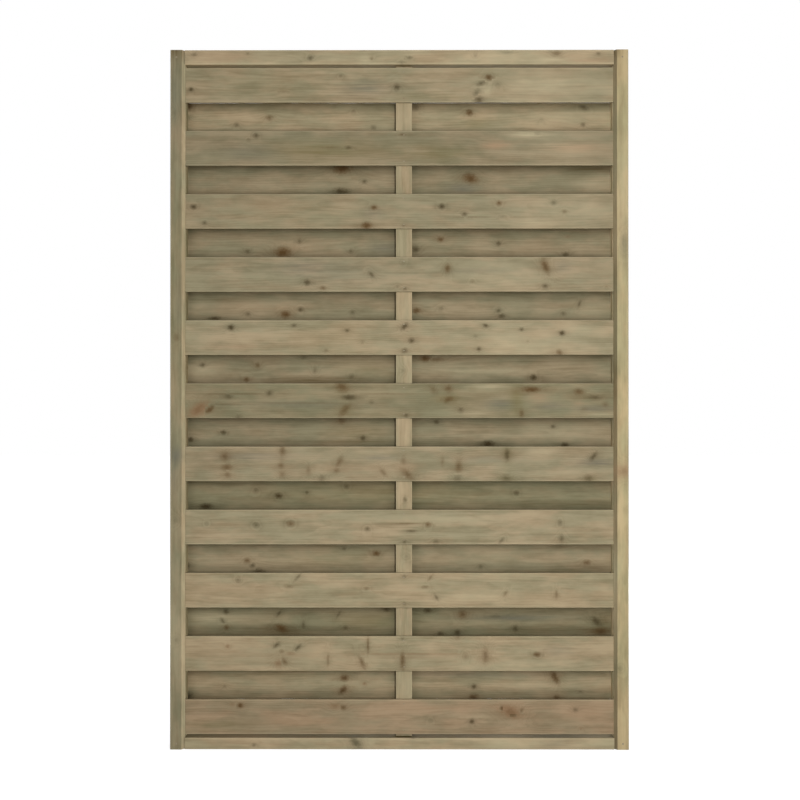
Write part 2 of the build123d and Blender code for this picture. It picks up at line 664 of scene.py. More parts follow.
@dataclass(frozen=True)
class View:
    """The camera, which stands nearly square before the panel's middle.

    Attributes:
        place: where it stands, in metres.
        turn: its turn from looking level along +Y, in degrees: pitch, roll and yaw.
        lens: its focal length in millimetres.
        sensor: its sensor's width in millimetres.
    """

    place: tuple[float, float, float] = (0.0094, -2.7315, 0.8892)
    turn: tuple[float, float, float] = (0.19, 0.01, 0.16)
    lens: float = 47.26
    sensor: float = 36.0

    def rotation(self) -> Euler:
        """The camera's rotation."""
        pitch, roll, yaw = (math.radians(angle) for angle in self.turn)
        return Euler((math.pi / 2 + pitch, roll, yaw), "XYZ")

    def place_on(self, column: float, row: float, depth: float) -> Point:
        """Finds the spot of an upright plane that shows at a pixel.

        Args:
            column: the pixel's column.
            row: the pixel's row.
            depth: the plane's Y in millimetres.

        Returns:
            The spot's X and Z in millimetres.
        """
        reach = self.sensor / self.lens
        right = (column + HALF_PIXEL - PICTURE_SIZE / 2) / PICTURE_SIZE * reach
        up = (PICTURE_SIZE / 2 - row - HALF_PIXEL) / PICTURE_SIZE * reach
        ray = self.rotation().to_matrix() @ Vector((right, up, -1.0))
        far = (depth * METRES - self.place[1]) / ray.y
        return (self.place[0] + far * ray.x) / METRES, (self.place[2] + far * ray.z) / METRES

    def set_up(self) -> None:
        """Puts the camera in the scene."""
        data = bpy.data.cameras.new("front_view")
        data.lens = self.lens
        data.sensor_width = self.sensor
        camera = put_in_scene("front_view", data)
        camera.location = self.place
        camera.rotation_euler = self.rotation()
        bpy.context.scene.camera = camera


VIEW = View()


@dataclass(frozen=True)
class Knot:
    """A knot, spike or shake in a timber's front face.

    Attributes:
        column: the pixel column of its middle in the picture.
        row: the pixel row of its middle.
        size: half its height in millimetres.
        depth: how dark it is, from 0 to 1.
        hue: its colour.
        stretch: its width for each unit of height.
        lean: how far its top leans to the right for each unit of height.
    """

    column: float
    row: float
    size: float
    depth: float = 0.7
    hue: KnotHue = KnotHue.DARK
    stretch: float = 1.0
    lean: float = 0.0


class PatchKind(Enum):
    """What a patch is, with the attribute and the part of it that holds the amount."""

    BLUSH = ("warm_patch", 0)
    PALE = ("warm_patch", 1)
    OLIVE = ("warm_patch", 2)
    BLUING = ("cool_patch", 0)
    STAIN = ("cool_patch", 1)


@dataclass(frozen=True)
class Patch:
    """A soft patch of another colour in a timber's front face.

    Attributes:
        kind: what it is.
        column: the pixel column of its middle in the picture.
        row: the pixel row of its middle.
        wide: half its width in millimetres.
        tall: half its height in millimetres.
        amount: how strong it is at its middle, from 0 to 1.
    """

    kind: PatchKind
    column: float
    row: float
    wide: float
    tall: float
    amount: float


class Grain(Enum):
    """The way a timber's grain runs."""

    LEVEL = "along X"
    UPRIGHT = "along Z"


class Tone(Enum):
    """The colours that the treated timbers have turned, from the palest to the darkest and one reddish."""

    HONEY = srgb(167, 153, 125)
    STRAW = srgb(157, 144, 117)
    FAWN = srgb(153, 141, 115)
    DUN = srgb(146, 135, 110)
    SAGE = srgb(138, 128, 104)
    MOSS = srgb(132, 124, 99)
    ROSE = srgb(150, 133, 108)


class Skin(Enum):
    """The parts of a timber's surface that may have a colour of their own, which holds painted light or shade.
    """

    FACE = "face"
    BEVEL = "bevel"
    INSIDE = "inside"


@dataclass(frozen=True)
class Corner:
    """A corner of a timber's section, the radius that eases it and the skin that follows it."""

    across: float
    through: float
    radius: float = 0.0
    skin: Skin = Skin.FACE


@dataclass(frozen=True)
class RingPoint:
    """A point on a section's rim and the skin that follows it. Arris is 1 on an eased edge."""

    across: float
    through: float
    arris: float = 0.0
    skin: Skin = Skin.FACE


@dataclass(frozen=True)
class Section:
    """A timber's section as a closed rim of corners."""

    corners: Sequence[Corner]
    cell: float = 8.0
    support: float = 2.2
    arc_steps: int = 3

    def rim(self) -> list[RingPoint]:
        """Rounds the corners and divides the straight runs.

        Returns:
            The rim's points in order.
        """
        count = len(self.corners)
        points: list[RingPoint] = []
        for index, corner in enumerate(self.corners):
            points += self._eased(self.corners[index - 1], corner, self.corners[(index + 1) % count])
        divided: list[RingPoint] = []
        for start, end in zip(points, points[1:] + points[:1]):
            divided.append(start)
            divided += self._between(start, end)
        return divided

    def _eased(self, before: Corner, corner: Corner, after: Corner) -> list[RingPoint]:
        """The arc that eases one corner, or the corner itself where it is sharp.

        Args:
            before: the corner before it.
            corner: the corner.
            after: the corner after it.

        Returns:
            The arc's points.
        """
        if not corner.radius:
            return [RingPoint(corner.across, corner.through, skin=corner.skin)]
        here = Vector((corner.across, corner.through))
        back = (Vector((before.across, before.through)) - here).normalized()
        ahead = (Vector((after.across, after.through)) - here).normalized()
        half_angle = back.angle(ahead) / 2
        run = corner.radius / math.tan(half_angle)
        middle = here + (back + ahead).normalized() * corner.radius / math.sin(half_angle)
        first = here + back * run - middle
        last = here + ahead * run - middle
        arc = []
        for step in range(self.arc_steps + 1):
            spoke = first.lerp(last, step / self.arc_steps).normalized() * corner.radius
            spot = middle + spoke
            arc.append(RingPoint(spot.x, spot.y, 1.0, corner.skin if step == self.arc_steps else Skin.FACE))
        return arc

    def _between(self, start: RingPoint, end: RingPoint) -> list[RingPoint]:
        """Divides a straight run, with a support point close to each end.

        Args:
            start: the run's first point.
            end: its last point.

        Returns:
            The points between them.
        """
        length = math.hypot(end.across - start.across, end.through - start.through)
        if length <= self.cell:
            return []
        inner = length - 2 * self.support
        steps = max(1, math.ceil(inner / self.cell))
        runs = [self.support + inner * step / steps for step in range(steps + 1)]
        return [
            RingPoint(
                start.across + (end.across - start.across) * run / length,
                start.through + (end.through - start.through) * run / length,
                skin=start.skin,
            )
            for run in runs
        ]


@dataclass(frozen=True)
class Pocket:
    """A recess cut into one strip of a timber's surface.

    Attributes:
        start: where it starts along the timber.
        end: where it ends.
        middle: the middle of the strip, across and through.
        cut: how far and which way its bottom lies from its mouth, across and through.
    """

    start: float
    end: float
    middle: Point
    cut: Point


@dataclass(frozen=True)
class Tenon:
    """A stub tenon on a timber's end: half its width across and through, and its length."""

    half_across: float
    half_through: float
    length: float


@dataclass
class Blank:
    """A timber's mesh: its section swept along its length, with pockets and tenons.

    Points are kept as (along, across, through) in millimetres until the mesh is made.
    """

    section: Section
    start: float
    end: float
    step: float = 9.0
    pockets: Sequence[Pocket] = ()
    tenon: Optional[Tenon] = None
    waver: float = 0.22
    points: list[tuple[float, float, float]] = field(default_factory=list)
    arris: list[float] = field(default_factory=list)
    faces: list[tuple[int, ...]] = field(default_factory=list)
    maps: list[list[Point]] = field(default_factory=list)
    ends: set[int] = field(default_factory=set)
    skins: dict[Skin, list[int]] = field(default_factory=dict)

    # The texture map: the swept surface lies below the top of it, where every other face has a small tile.
    MAP_TOP = 0.93
    TILE = 0.03
    TILE_GAP = 0.003
    TILES_LEFT = 0.005
    TILES_RISE = 0.006
    TILES_ACROSS = 30
    TILE_ROWS = 2
    # The closest that two places are told apart, and how planed wood wavers and its edges are nicked.
    CLOSE = 1e-6
    WAVER_ALONG = 0.006
    WAVER_ROUND = 0.03
    NICK_ALONG = 0.05
    NICK_DEPTH = 0.25

    def shape(self, seed: float) -> None:
        """Works out the points and faces.

        Args:
            seed: sets this timber's own waver apart from the others'.
        """
        rim = self.section.rim()
        stations = self._stations()
        middle_across = sum(point.across for point in rim) / len(rim)
        middle_through = sum(point.through for point in rim) / len(rim)
        for along in stations:
            for point in rim:
                self._add_rim_point(along, point, (middle_across, middle_through), seed)
        girth = self._girth(rim)
        cut_cells = self._cut_pockets(rim, stations)
        count = len(rim)
        shares = [(along - self.start) / (self.end - self.start) for along in stations]
        for i in range(len(stations) - 1):
            near, far = i * count, (i + 1) * count
            low, high = shares[i], shares[i + 1]
            for j in range(count):
                if (i, j) in cut_cells:
                    continue
                after = (j + 1) % count
                self.skins.setdefault(rim[j].skin, []).append(len(self.faces))
                self.faces.append((near + j, near + after, far + after, far + j))
                bottom, top = girth[j], girth[j + 1]
                self.maps.append([(low, bottom), (low, top), (high, top), (high, bottom)])
        last = (len(stations) - 1) * count
        self._close_end(list(range(count)), -1)
        self._close_end(list(range(last, last + count)), 1)

    def _stations(self) -> list[float]:
        """Divides the timber's length.

        Returns:
            The places along the timber where its section is set, among them each pocket's ends.
        """
        breaks = {self.start, self.end}
        for pocket in self.pockets:
            breaks |= {pocket.start, pocket.end}
        ordered = sorted(breaks)
        stations = []
        for low, high in zip(ordered, ordered[1:]):
            steps = max(1, round((high - low) / self.step))
            stations += [low + (high - low) * step / steps for step in range(steps)]
        return stations + [self.end]

    def _add_rim_point(self, along: float, point: RingPoint, middle: Point, seed: float) -> None:
        """Sets one point of the surface a little inside the true section, as planed wood wavers.

        Args:
            along: its place along the timber.
            point: its place on the section's rim.
            middle: the section's middle, across and through.
            seed: this timber's own.
        """
        across, through = point.across, point.through
        spot = (along * self.WAVER_ALONG + seed, across * self.WAVER_ROUND, through * self.WAVER_ROUND)
        inward = self.waver * self._noise_at(spot)
        if point.arris:
            inward += self.NICK_DEPTH * self._noise_at((along * self.NICK_ALONG + seed, across, through))
        across, through = (
            place - math.copysign(min(inward, abs(place - centre)), place - centre)
            for place, centre in zip((across, through), middle)
        )
        self.points.append((along, across, through))
        self.arris.append(point.arris)

    @staticmethod
    def _noise_at(spot: tuple[float, float, float]) -> float:
        """Noise at a spot, from 0 to 1."""
        return 0.5 + 0.5 * noise.noise(Vector(spot))

    def _girth(self, rim: Sequence[RingPoint]) -> list[float]:
        """Measures round the rim.

        Args:
            rim: the section's points.

        Returns:
            How far round each of them lies, and the whole way round, as shares of the texture map's height.
        """
        lengths = [0.0]
        for start, end in zip(rim, list(rim[1:]) + [rim[0]]):
            lengths.append(lengths[-1] + math.hypot(end.across - start.across, end.through - start.through))
        return [length / lengths[-1] * self.MAP_TOP for length in lengths]

    def _cut_pockets(self, rim: Sequence[RingPoint], stations: Sequence[float]) -> set[tuple[int, int]]:
        """Builds each pocket's walls and bottom.

        Args:
            rim: the section's points.
            stations: the places along the timber.

        Returns:
            The cells of the surface that the pockets open.
        """
        count = len(rim)
        opened: set[tuple[int, int]] = set()
        for pocket in self.pockets:
            gaps = [
                math.hypot(
                    (rim[j].across + rim[(j + 1) % count].across) / 2 - pocket.middle[0],
                    (rim[j].through + rim[(j + 1) % count].through) / 2 - pocket.middle[1],
                )
                for j in range(count)
            ]
            j = gaps.index(min(gaps))
            after = (j + 1) % count
            low, high = pocket.start - self.CLOSE, pocket.end + self.CLOSE
            rows = [i for i, along in enumerate(stations) if low <= along <= high]
            floor = []
            for i in rows:
                floor.append((self._sunk(i * count + j, pocket), self._sunk(i * count + after, pocket)))
            for k, i in enumerate(rows[:-1]):
                near, far = i * count, (i + 1) * count
                self._add_face((floor[k][0], floor[k][1], floor[k + 1][1], floor[k + 1][0]))
                self._add_face((near + j, floor[k][0], floor[k + 1][0], far + j))
                self._add_face((near + after, far + after, floor[k + 1][1], floor[k][1]))
                opened.add((i, j))
            first, last = rows[0] * count, rows[-1] * count
            self._add_face((first + j, first + after, floor[0][1], floor[0][0]))
            self._add_face((last + j, floor[-1][0], floor[-1][1], last + after))
        return opened

    def _sunk(self, index: int, pocket: Pocket) -> int:
        """Adds the point of a pocket's bottom under one of its mouth.

        Args:
            index: the mouth's point.
            pocket: the pocket.

        Returns:
            The new point's number.
        """
        along, across, through = self.points[index]
        self.points.append((along, across + pocket.cut[0], through + pocket.cut[1]))
        self.arris.append(0.0)
        return len(self.points) - 1

    def _close_end(self, ring: list[int], way: int) -> None:
        """Closes one end, with a tenon where the timber has one.

        Args:
            ring: the end's points.
            way: -1 at the start and 1 at the end.
        """
        if self.tenon:
            across = [self.points[index][1] for index in ring]
            through = [self.points[index][2] for index in ring]
            middle = ((min(across) + max(across)) / 2, (min(through) + max(through)) / 2)
            root = [self._on_tenon(index, middle, 0.0) for index in ring]
            tip = [self._on_tenon(index, middle, way * self.tenon.length) for index in ring]
            for outer, inner in ((ring, root), (root, tip)):
                for k in range(len(ring)):
                    after = (k + 1) % len(ring)
                    self._add_face((outer[k], outer[after], inner[after], inner[k]))
                    self.ends.add(len(self.faces) - 1)
            ring = tip
        self._add_face(tuple(ring))
        self.ends.add(len(self.faces) - 1)

    def _on_tenon(self, index: int, middle: Point, reach: float) -> int:
        """Adds the point of a tenon's rim that lies inwards of a shoulder's point.

        Args:
            index: the shoulder's point.
            middle: the shoulder's middle, across and through.
            reach: how far along the new point lies from the shoulder.

        Returns:
            The new point's number.
        """
        along, across, through = self.points[index]
        side, face = across - middle[0], through - middle[1]
        share = min(
            self.tenon.half_across / max(abs(side), self.CLOSE),
            self.tenon.half_through / max(abs(face), self.CLOSE),
        )
        self.points.append((along + reach, middle[0] + side * share, middle[1] + face * share))
        self.arris.append(0.0)
        return len(self.points) - 1

    def _add_face(self, corners: tuple[int, ...]) -> None:
        """Adds a face off the main surface, and gives it a small tile at the top of the texture map.

        Args:
            corners: the face's points in order.
        """
        self.faces.append(corners)
        tile = sum(1 for spots in self.maps if spots[0][1] >= self.MAP_TOP)
        spread = [self.points[index] for index in corners]
        lows = [min(spot[axis] for spot in spread) for axis in range(3)]
        sizes = [max(spot[axis] for spot in spread) - lows[axis] for axis in range(3)]
        first, second = sorted(range(3), key=lambda axis: -sizes[axis])[:2]
        pitch = self.TILE + self.TILE_GAP
        left = self.TILES_LEFT + (tile % self.TILES_ACROSS) * pitch
        bottom = self.MAP_TOP + self.TILES_RISE + (tile // self.TILES_ACROSS % self.TILE_ROWS) * pitch
        self.maps.append(
            [
                (
                    left + self.TILE * (spot[first] - lows[first]) / max(sizes[first], self.CLOSE),
                    bottom + self.TILE * (spot[second] - lows[second]) / max(sizes[second], self.CLOSE),
                )
                for spot in spread
            ]
        )


@dataclass
class Timber:
    """One timber of the panel, remade over its solid.

    Attributes:
        node: the solid's name.
        grain: the way its grain runs.
        tone: its own colour.
        slot: the name of a material slot for its finish; not used.
        knots: the knots in it.
        patches: the patches on it.
        painted_light_and_shade_tones: the painted light or shade on those parts of its surface that have a
            colour of their own.
    """

    node: str
    grain: Grain
    tone: Colour
    slot: str
    knots: Sequence[Knot] = ()
    patches: Sequence[Patch] = ()
    painted_light_and_shade_tones: Mapping[Skin, Colour] = field(default_factory=dict)

    # Where a timber's pith may lie, and the ranges that set its waver and grain apart from the others'.
    PITH_NEAR = 18.0
    PITH_FAR = 75.0
    PITH_ASIDE = 45.0
    WAVER_RANGE = 900.0
    GRAIN_RANGE = 9000.0
    SHARP_EDGE = math.radians(42)
    # Along, across, half across, half along, lean, depth and hue of a knot too far off to show.
    NO_KNOT = (1e6, 1e6, 1.0, 1.0, 0.0, 0.0, 0.0)

    def __post_init__(self) -> None:
        """Reads the solid's box in millimetres and makes the timber's own chances."""
        low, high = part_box(self.node)
        self.low = tuple(value / METRES for value in low)
        self.high = tuple(value / METRES for value in high)
        self.chance = random.Random(self.node)

    def blank(self) -> Blank:
        """The timber's shape, which each kind of timber gives."""
        raise NotImplementedError

    def painted_shade_at(self, points: np.ndarray) -> np.ndarray:
        """How much painted shade each point carries. Most timbers carry none."""
        return np.zeros(len(points))

    def build(self, finish: bpy.types.Material) -> bpy.types.Object:
        """Makes the timber and sets it in the panel in its solid's place.

        Args:
            finish: the softwood finish.

        Returns:
            The timber's object.
        """
        blank = self.blank()
        blank.shape(self.chance.uniform(0, self.WAVER_RANGE))
        mesh = bpy.data.meshes.new(f"{self.node}_timber")
        mesh.from_pydata([self._in_space(*point) for point in blank.points], [], blank.faces)
        self._lay_map(mesh, blank)
        self._write_attributes(mesh, blank)
        self._turn_faces_out(mesh)
        mesh.materials.append(finish)
        mesh.shade_smooth()
        mesh.set_sharp_from_angle(angle=self.SHARP_EDGE)
        piece = put_in_scene(f"{self.node}_timber", mesh)
        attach(piece, "root")
        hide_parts(self.node)
        return piece

    def _in_space(self, along: float, across: float, through: float) -> tuple[float, float, float]:
        """A point of the timber as X, Y and Z in metres."""
        x, z = (along, across) if self.grain is Grain.LEVEL else (across, along)
        return x * METRES, through * METRES, z * METRES

    @staticmethod
    def _lay_map(mesh: bpy.types.Mesh, blank: Blank) -> None:
        """Gives the mesh a texture map that runs along the grain."""
        spots = [value for face in blank.maps for spot in face for value in spot]
        mesh.uv_layers.new(name="OFBake").uv.foreach_set("vector", spots)

    @staticmethod
    def _turn_faces_out(mesh: bpy.types.Mesh) -> None:
        """Turns every face outwards.

        Args:
            mesh: the timber's mesh.
        """
        work = bmesh.new()
        work.from_mesh(mesh)
        bmesh.ops.recalc_face_normals(work, faces=work.faces)
        work.to_mesh(mesh)
        work.free()

    def _write_attributes(self, mesh: bpy.types.Mesh, blank: Blank) -> None:
        """Writes the grain, the tone with its painted light and shade, the painted shade, the knots and the
        patches that the finish reads.

        Args:
            mesh: the timber's mesh.
            blank: its shape.
        """
        points = np.array(blank.points)
        shift = self.chance.uniform(0, self.GRAIN_RANGE)
        aside = self.chance.uniform(-self.PITH_ASIDE, self.PITH_ASIDE)
        pith_across = (points[:, 1].min() + points[:, 1].max()) / 2 + aside
        pith_through = self.chance.choice((-1, 1)) * self.chance.uniform(self.PITH_NEAR, self.PITH_FAR)
        origin = np.array((-shift, pith_across, pith_through))
        self._write(mesh, "grain", "POINT", points - origin)
        tones = np.tile(self.tone[:3], (len(blank.faces), 1))
        # Bevels and inner faces take their painted light or shade in place of the timber's own tone.
        for skin, tone in self.painted_light_and_shade_tones.items():
            tones[blank.skins[skin]] = tone[:3]
        self._write(mesh, "tone", "FACE", tones)
        self._write_patches(mesh, points, np.array(blank.arris))
        # Painted shade of the margins that the other row overlaps, and beside the uprights.
        self._write(mesh, "painted_shade", "POINT", self.painted_shade_at(points))
        centres = np.array([points[list(face)].mean(axis=0) for face in blank.faces])
        self._write_knots(mesh, centres, origin)
        cut = np.zeros(len(blank.faces))
        cut[list(blank.ends)] = 1.0
        self._write(mesh, "cut_end", "FACE", cut)

    @staticmethod
    def _write(mesh: bpy.types.Mesh, name: str, domain: str, numbers: np.ndarray) -> None:
        """Writes one attribute, of vectors where they come in rows and else of single numbers."""
        kind, part = ("FLOAT", "value") if numbers.ndim == 1 else ("FLOAT_VECTOR", "vector")
        mesh.attributes.new(name, kind, domain).data.foreach_set(part, numbers.ravel())

    def _spot(self, column: float, row: float) -> Point:
        """Where a pixel's spot lies on the front face, along and across the grain."""
        x, z = VIEW.place_on(column, row, self.low[1])
        return (x, z) if self.grain is Grain.LEVEL else (z, x)

    def _write_patches(self, mesh: bpy.types.Mesh, points: np.ndarray, arris: np.ndarray) -> None:
        """Writes how much of each patch reaches each point.

        Args:
            mesh: the timber's mesh.
            points: its points along, across and through.
            arris: 1 at the points of the eased edges.
        """
        amounts = {name: np.zeros((len(points), 3)) for name in ("warm_patch", "cool_patch")}
        amounts["cool_patch"][:, 2] = arris
        for patch in self.patches:
            along, across = self._spot(patch.column, patch.row)
            level = self.grain is Grain.LEVEL
            reach_along, reach_across = (patch.wide, patch.tall) if level else (patch.tall, patch.wide)
            gap = ((points[:, 0] - along) / reach_along) ** 2 + ((points[:, 1] - across) / reach_across) ** 2
            name, part = patch.kind.value
            amounts[name][:, part] += patch.amount * np.exp(-gap)
        for name, vectors in amounts.items():
            self._write(mesh, name, "POINT", vectors.clip(0.0, 1.0))

    def _write_knots(self, mesh: bpy.types.Mesh, centres: np.ndarray, origin: np.ndarray) -> None:
        """Writes on each face the knot that is nearest to it for the knot's size.

        Args:
            mesh: the timber's mesh.
            centres: the faces' middles along, across and through.
            origin: where the grain attribute counts from.
        """
        rows = [self.NO_KNOT]
        for knot in self.knots:
            tall, wide = knot.size, knot.size * knot.stretch
            halves = (tall, wide) if self.grain is Grain.LEVEL else (wide, tall)
            spot = self._spot(knot.column, knot.row)
            rows.append((*spot, *halves, knot.lean, knot.depth, knot.hue.place))
        table = np.array(rows)
        along, across, half_across, half_along, lean, _, _ = table.T
        up = centres[:, 1:2] - across
        over = (centres[:, :1] - along - lean * up) / half_along
        chosen = table[np.hypot(over, up / half_across).argmin(axis=1)]
        place = chosen[:, :3].copy()
        place[:, :2] -= origin[:2]
        self._write(mesh, "knot_place", "FACE", place)
        self._write(mesh, "knot_shape", "FACE", chosen[:, 3:6].copy())
        self._write(mesh, "knot_hue", "FACE", chosen[:, 6].copy())


@dataclass(frozen=True)
class Brads:
    """Where the brads are driven and what room a head takes, in millimetres."""

    across_muntin: float = 12.0
    edge_distance: float = 11.0
    head_width: float = 4.5
    head_height: float = 1.9
    head_depth: float = 1.2


@dataclass(frozen=True)
class PaintedShade:
    """The painted shade on a board's inner face: dark margins where the other row's boards overlap it, and
    darkening beside the uprights.

    Attributes:
        top: how dark the upper margin is, from 0 to 1.
        bottom: how dark the lower margin is.
        top_reach: how far the upper margin fades out, in millimetres.
        bottom_reach: how far the lower margin fades out.
        overlap: how far the other row reaches over the board before that.
        ends: how dark the painted shade is beside the muntin and the left stile.
        ends_reach: how far that fades out.
    """

    top: float = 0.0
    bottom: float = 0.0
    top_reach: float = 20.0
    bottom_reach: float = 20.0
    overlap: float = 8.5
    ends: float = 0.26
    ends_reach: float = 17.0

    MARGIN_POWER = 3
    ENDS_POWER = 2

    def at(self, above: np.ndarray, below: np.ndarray, beside: np.ndarray) -> np.ndarray:
        """Works out how dark the painted shade makes places of the inner face.

        Args:
            above: how far they lie from the board's top edge.
            below: how far from its bottom edge.
            beside: how far from the nearest upright that darkens it.

        Returns:
            Their darkness, from 0 to 1.
        """
        above = np.maximum(above - self.overlap, 0.0) / self.top_reach
        below = np.maximum(below - self.overlap, 0.0) / self.bottom_reach
        upper = self.top * np.exp(-(above**self.MARGIN_POWER))
        lower = self.bottom * np.exp(-(below**self.MARGIN_POWER))
        end = self.ends * np.exp(-((beside / self.ends_reach) ** self.ENDS_POWER))
        return np.minimum(upper + lower + end, 1.0)

    def towards(self, other: "PaintedShade", share: float) -> "PaintedShade":
        """The painted shade that lies so far between this one and another."""
        pairs = zip(astuple(self), astuple(other))
        return PaintedShade(*(first + (second - first) * share for first, second in pairs))


@dataclass
class Board(Timber):
    """A thin level board of the front or the back row, housed in the stiles at both ends."""

    arris: float = 1.5
    outer: int = -1
    painted_shade: PaintedShade = PaintedShade()
    brads: Brads = Brads()

    def painted_shade_at(self, points: np.ndarray) -> np.ndarray:
        """Works out the painted shade on the board's inner face, where the other row overlaps it.

        Args:
            points: the board's points along, across and through.

        Returns:
            Each point's share of darkness, 0 off the inner face.
        """
        inside = np.abs(points[:, 2]) < abs(self.low[1] + self.high[1]) / 2
        muntin_low, muntin_high = solid_box("centre_muntin")
        uprights = np.array((solid_box("left_stile")[1][0], muntin_low[0], muntin_high[0]))
        beside = np.abs(points[:, :1] - uprights).min(axis=1)
        return self.painted_shade.at(self.high[2] - points[:, 1], points[:, 1] - self.low[2], beside) * inside

    def blank(self) -> Blank:
        """Shapes the board.

        Returns:
            Its blank, with a pocket for each of its two brads' heads.
        """
        bottom, top = self.low[2], self.high[2]
        front, back = self.low[1], self.high[1]
        outer_face = front if self.outer < 0 else back
        heights = (bottom + self.brads.edge_distance, top - self.brads.edge_distance)
        half = self.brads.head_height / 2
        marks = [Corner(height + edge, outer_face) for height in heights for edge in (-half, half)]
        front_marks = marks if self.outer < 0 else []
        back_marks = [] if self.outer < 0 else marks[::-1]
        corners = [Corner(bottom, front, self.arris), *front_marks, Corner(top, front, self.arris)]
        corners += [Corner(top, back, self.arris), *back_marks, Corner(bottom, back, self.arris)]
        pockets = [
            Pocket(
                self.brads.across_muntin - self.brads.head_width / 2,
                self.brads.across_muntin + self.brads.head_width / 2,
                (height, outer_face),
                (0.0, -self.outer * self.brads.head_depth),
            )
            for height in heights
        ]
        return Blank(Section(corners), self.low[0], self.high[0], pockets=pockets)


@dataclass(frozen=True)
class Joinery:
    """The joints' sizes in millimetres."""

    rail_tenon_length: float = 30.0
    rail_tenon_thickness: float = 14.0
    rail_shoulder: float = 6.0
    muntin_tenon_length: float = 12.0
    muntin_shoulder: float = 5.0
    clearance: float = 0.2
    groove_depth: float = 14.0
    groove_clearance: float = 0.3
    chamfer: float = 8.0
    arris: float = 2.5


JOINERY = Joinery()


@dataclass
class Stile(Timber):
    """An upright of the frame, grooved for both rows of boards and mortised for the rails."""

    side: int = -1

    def blank(self) -> Blank:
        """Shapes the stile.

        Returns:
            Its blank, with the grooves in its section and the mortises as pockets.
        """
        outer = self.low[0] if self.side < 0 else self.high[0]
        inner = self.high[0] if self.side < 0 else self.low[0]
        front, back = self.low[1], self.high[1]
        groove = inner + self.side * JOINERY.groove_depth
        corners = [
            Corner(outer, front, JOINERY.arris),
            Corner(inner + self.side * JOINERY.chamfer, front, skin=Skin.BEVEL),
            Corner(inner, front + JOINERY.chamfer),
        ]
        for row in ("front_board_01", "back_board_01"):
            low, high = solid_box(row)
            near, far = low[1] - JOINERY.groove_clearance, high[1] + JOINERY.groove_clearance
            turns = [(inner, near), (groove, near), (groove, far), (inner, far)]
            if row == "front_board_01":
                half = JOINERY.rail_tenon_thickness / 2 + JOINERY.clearance
                turns += [(inner, -half), (inner, half)]
            corners += [Corner(across, through, skin=Skin.INSIDE) for across, through in turns]
        corners += [
            Corner(inner, back - JOINERY.chamfer, skin=Skin.BEVEL),
            Corner(inner + self.side * JOINERY.chamfer, back),
            Corner(outer, back, JOINERY.arris),
        ]
        pockets = [self._mortise(rail, inner) for rail in ("bottom_rail", "top_rail")]
        return Blank(Section(corners), self.low[2], self.high[2], pockets=pockets)

    def _mortise(self, rail: str, inner: float) -> Pocket:
        """The mortise for one rail's tenon.

        Args:
            rail: the rail's solid.
            inner: the X of the stile's inner face.

        Returns:
            The pocket.
        """
        low, high = solid_box(rail)
        shoulder = JOINERY.rail_shoulder - JOINERY.clearance
        depth = JOINERY.rail_tenon_length + JOINERY.clearance
        return Pocket(low[2] + shoulder, high[2] - shoulder, (inner, 0.0), (self.side * depth, 0.0))


@dataclass
class Rail(Timber):
    """A cross piece of the frame, tenoned at both ends and mortised for the muntin."""

    inner: int = -1

    def blank(self) -> Blank:
        """Shapes the rail.

        Returns:
            Its blank between the shoulders, with the muntin's mortise and a tenon for both ends.
        """
        bottom, top = self.low[2], self.high[2]
        front, back = self.low[1], self.high[1]
        muntin_low, muntin_high = solid_box("centre_muntin")
        shoulder = JOINERY.muntin_shoulder - JOINERY.clearance
        half = muntin_high[1] - shoulder
        inner_face = bottom if self.inner < 0 else top
        marks = [Corner(inner_face, through, skin=Skin.INSIDE) for through in (-half, half)]
        above, below = (Skin.INSIDE, Skin.FACE) if self.inner > 0 else (Skin.FACE, Skin.INSIDE)
        corners = [Corner(bottom, front, JOINERY.arris), Corner(top, front, JOINERY.arris, above)]
        corners += marks if self.inner > 0 else []
        corners += [Corner(top, back, JOINERY.arris), Corner(bottom, back, JOINERY.arris, below)]
        corners += marks[::-1] if self.inner < 0 else []
        depth = JOINERY.muntin_tenon_length + JOINERY.clearance
        mortise = Pocket(
            muntin_low[0] + shoulder, muntin_high[0] - shoulder, (inner_face, 0.0), (-self.inner * depth, 0.0)
        )
        tenon = Tenon(
            (top - bottom) / 2 - JOINERY.rail_shoulder,
            JOINERY.rail_tenon_thickness / 2,
            JOINERY.rail_tenon_length,
        )
        reach = JOINERY.rail_tenon_length
        start, end = self.low[0] + reach, self.high[0] - reach
        return Blank(Section(corners), start, end, pockets=[mortise], tenon=tenon)


@dataclass
class Muntin(Timber):
    """The upright batten between the two rows of boards, tenoned into both rails."""

    arris: float = 0.8

    def blank(self) -> Blank:
        """Shapes the muntin.

        Returns:
            Its blank between the shoulders, with a tenon for both ends.
        """
        left, right = self.low[0], self.high[0]
        front, back = self.low[1], self.high[1]
        corners = [Corner(left, front, self.arris), Corner(right, front, self.arris)]
        corners += [Corner(right, back, self.arris), Corner(left, back, self.arris)]
        tenon = Tenon(
            (right - left) / 2 - JOINERY.muntin_shoulder,
            (back - front) / 2 - JOINERY.muntin_shoulder,
            JOINERY.muntin_tenon_length,
        )
        reach = JOINERY.muntin_tenon_length
        return Blank(Section(corners), self.low[2] + reach, self.high[2] - reach, tenon=tenon)


GREY, DARK, BROWN, RED = KnotHue
BLUSH, PALE, OLIVE, BLUING, STAIN = PatchKind
HONEY, STRAW, FAWN, DUN, SAGE, MOSS, ROSE = (tone.value for tone in Tone)

FRONT_TONES = (FAWN, SAGE, DUN, DUN, FAWN, MOSS, DUN, FAWN, STRAW, STRAW, ROSE)
BACK_TONES = (STRAW, SAGE, SAGE, SAGE, SAGE, SAGE, MOSS, DUN, MOSS, STRAW)

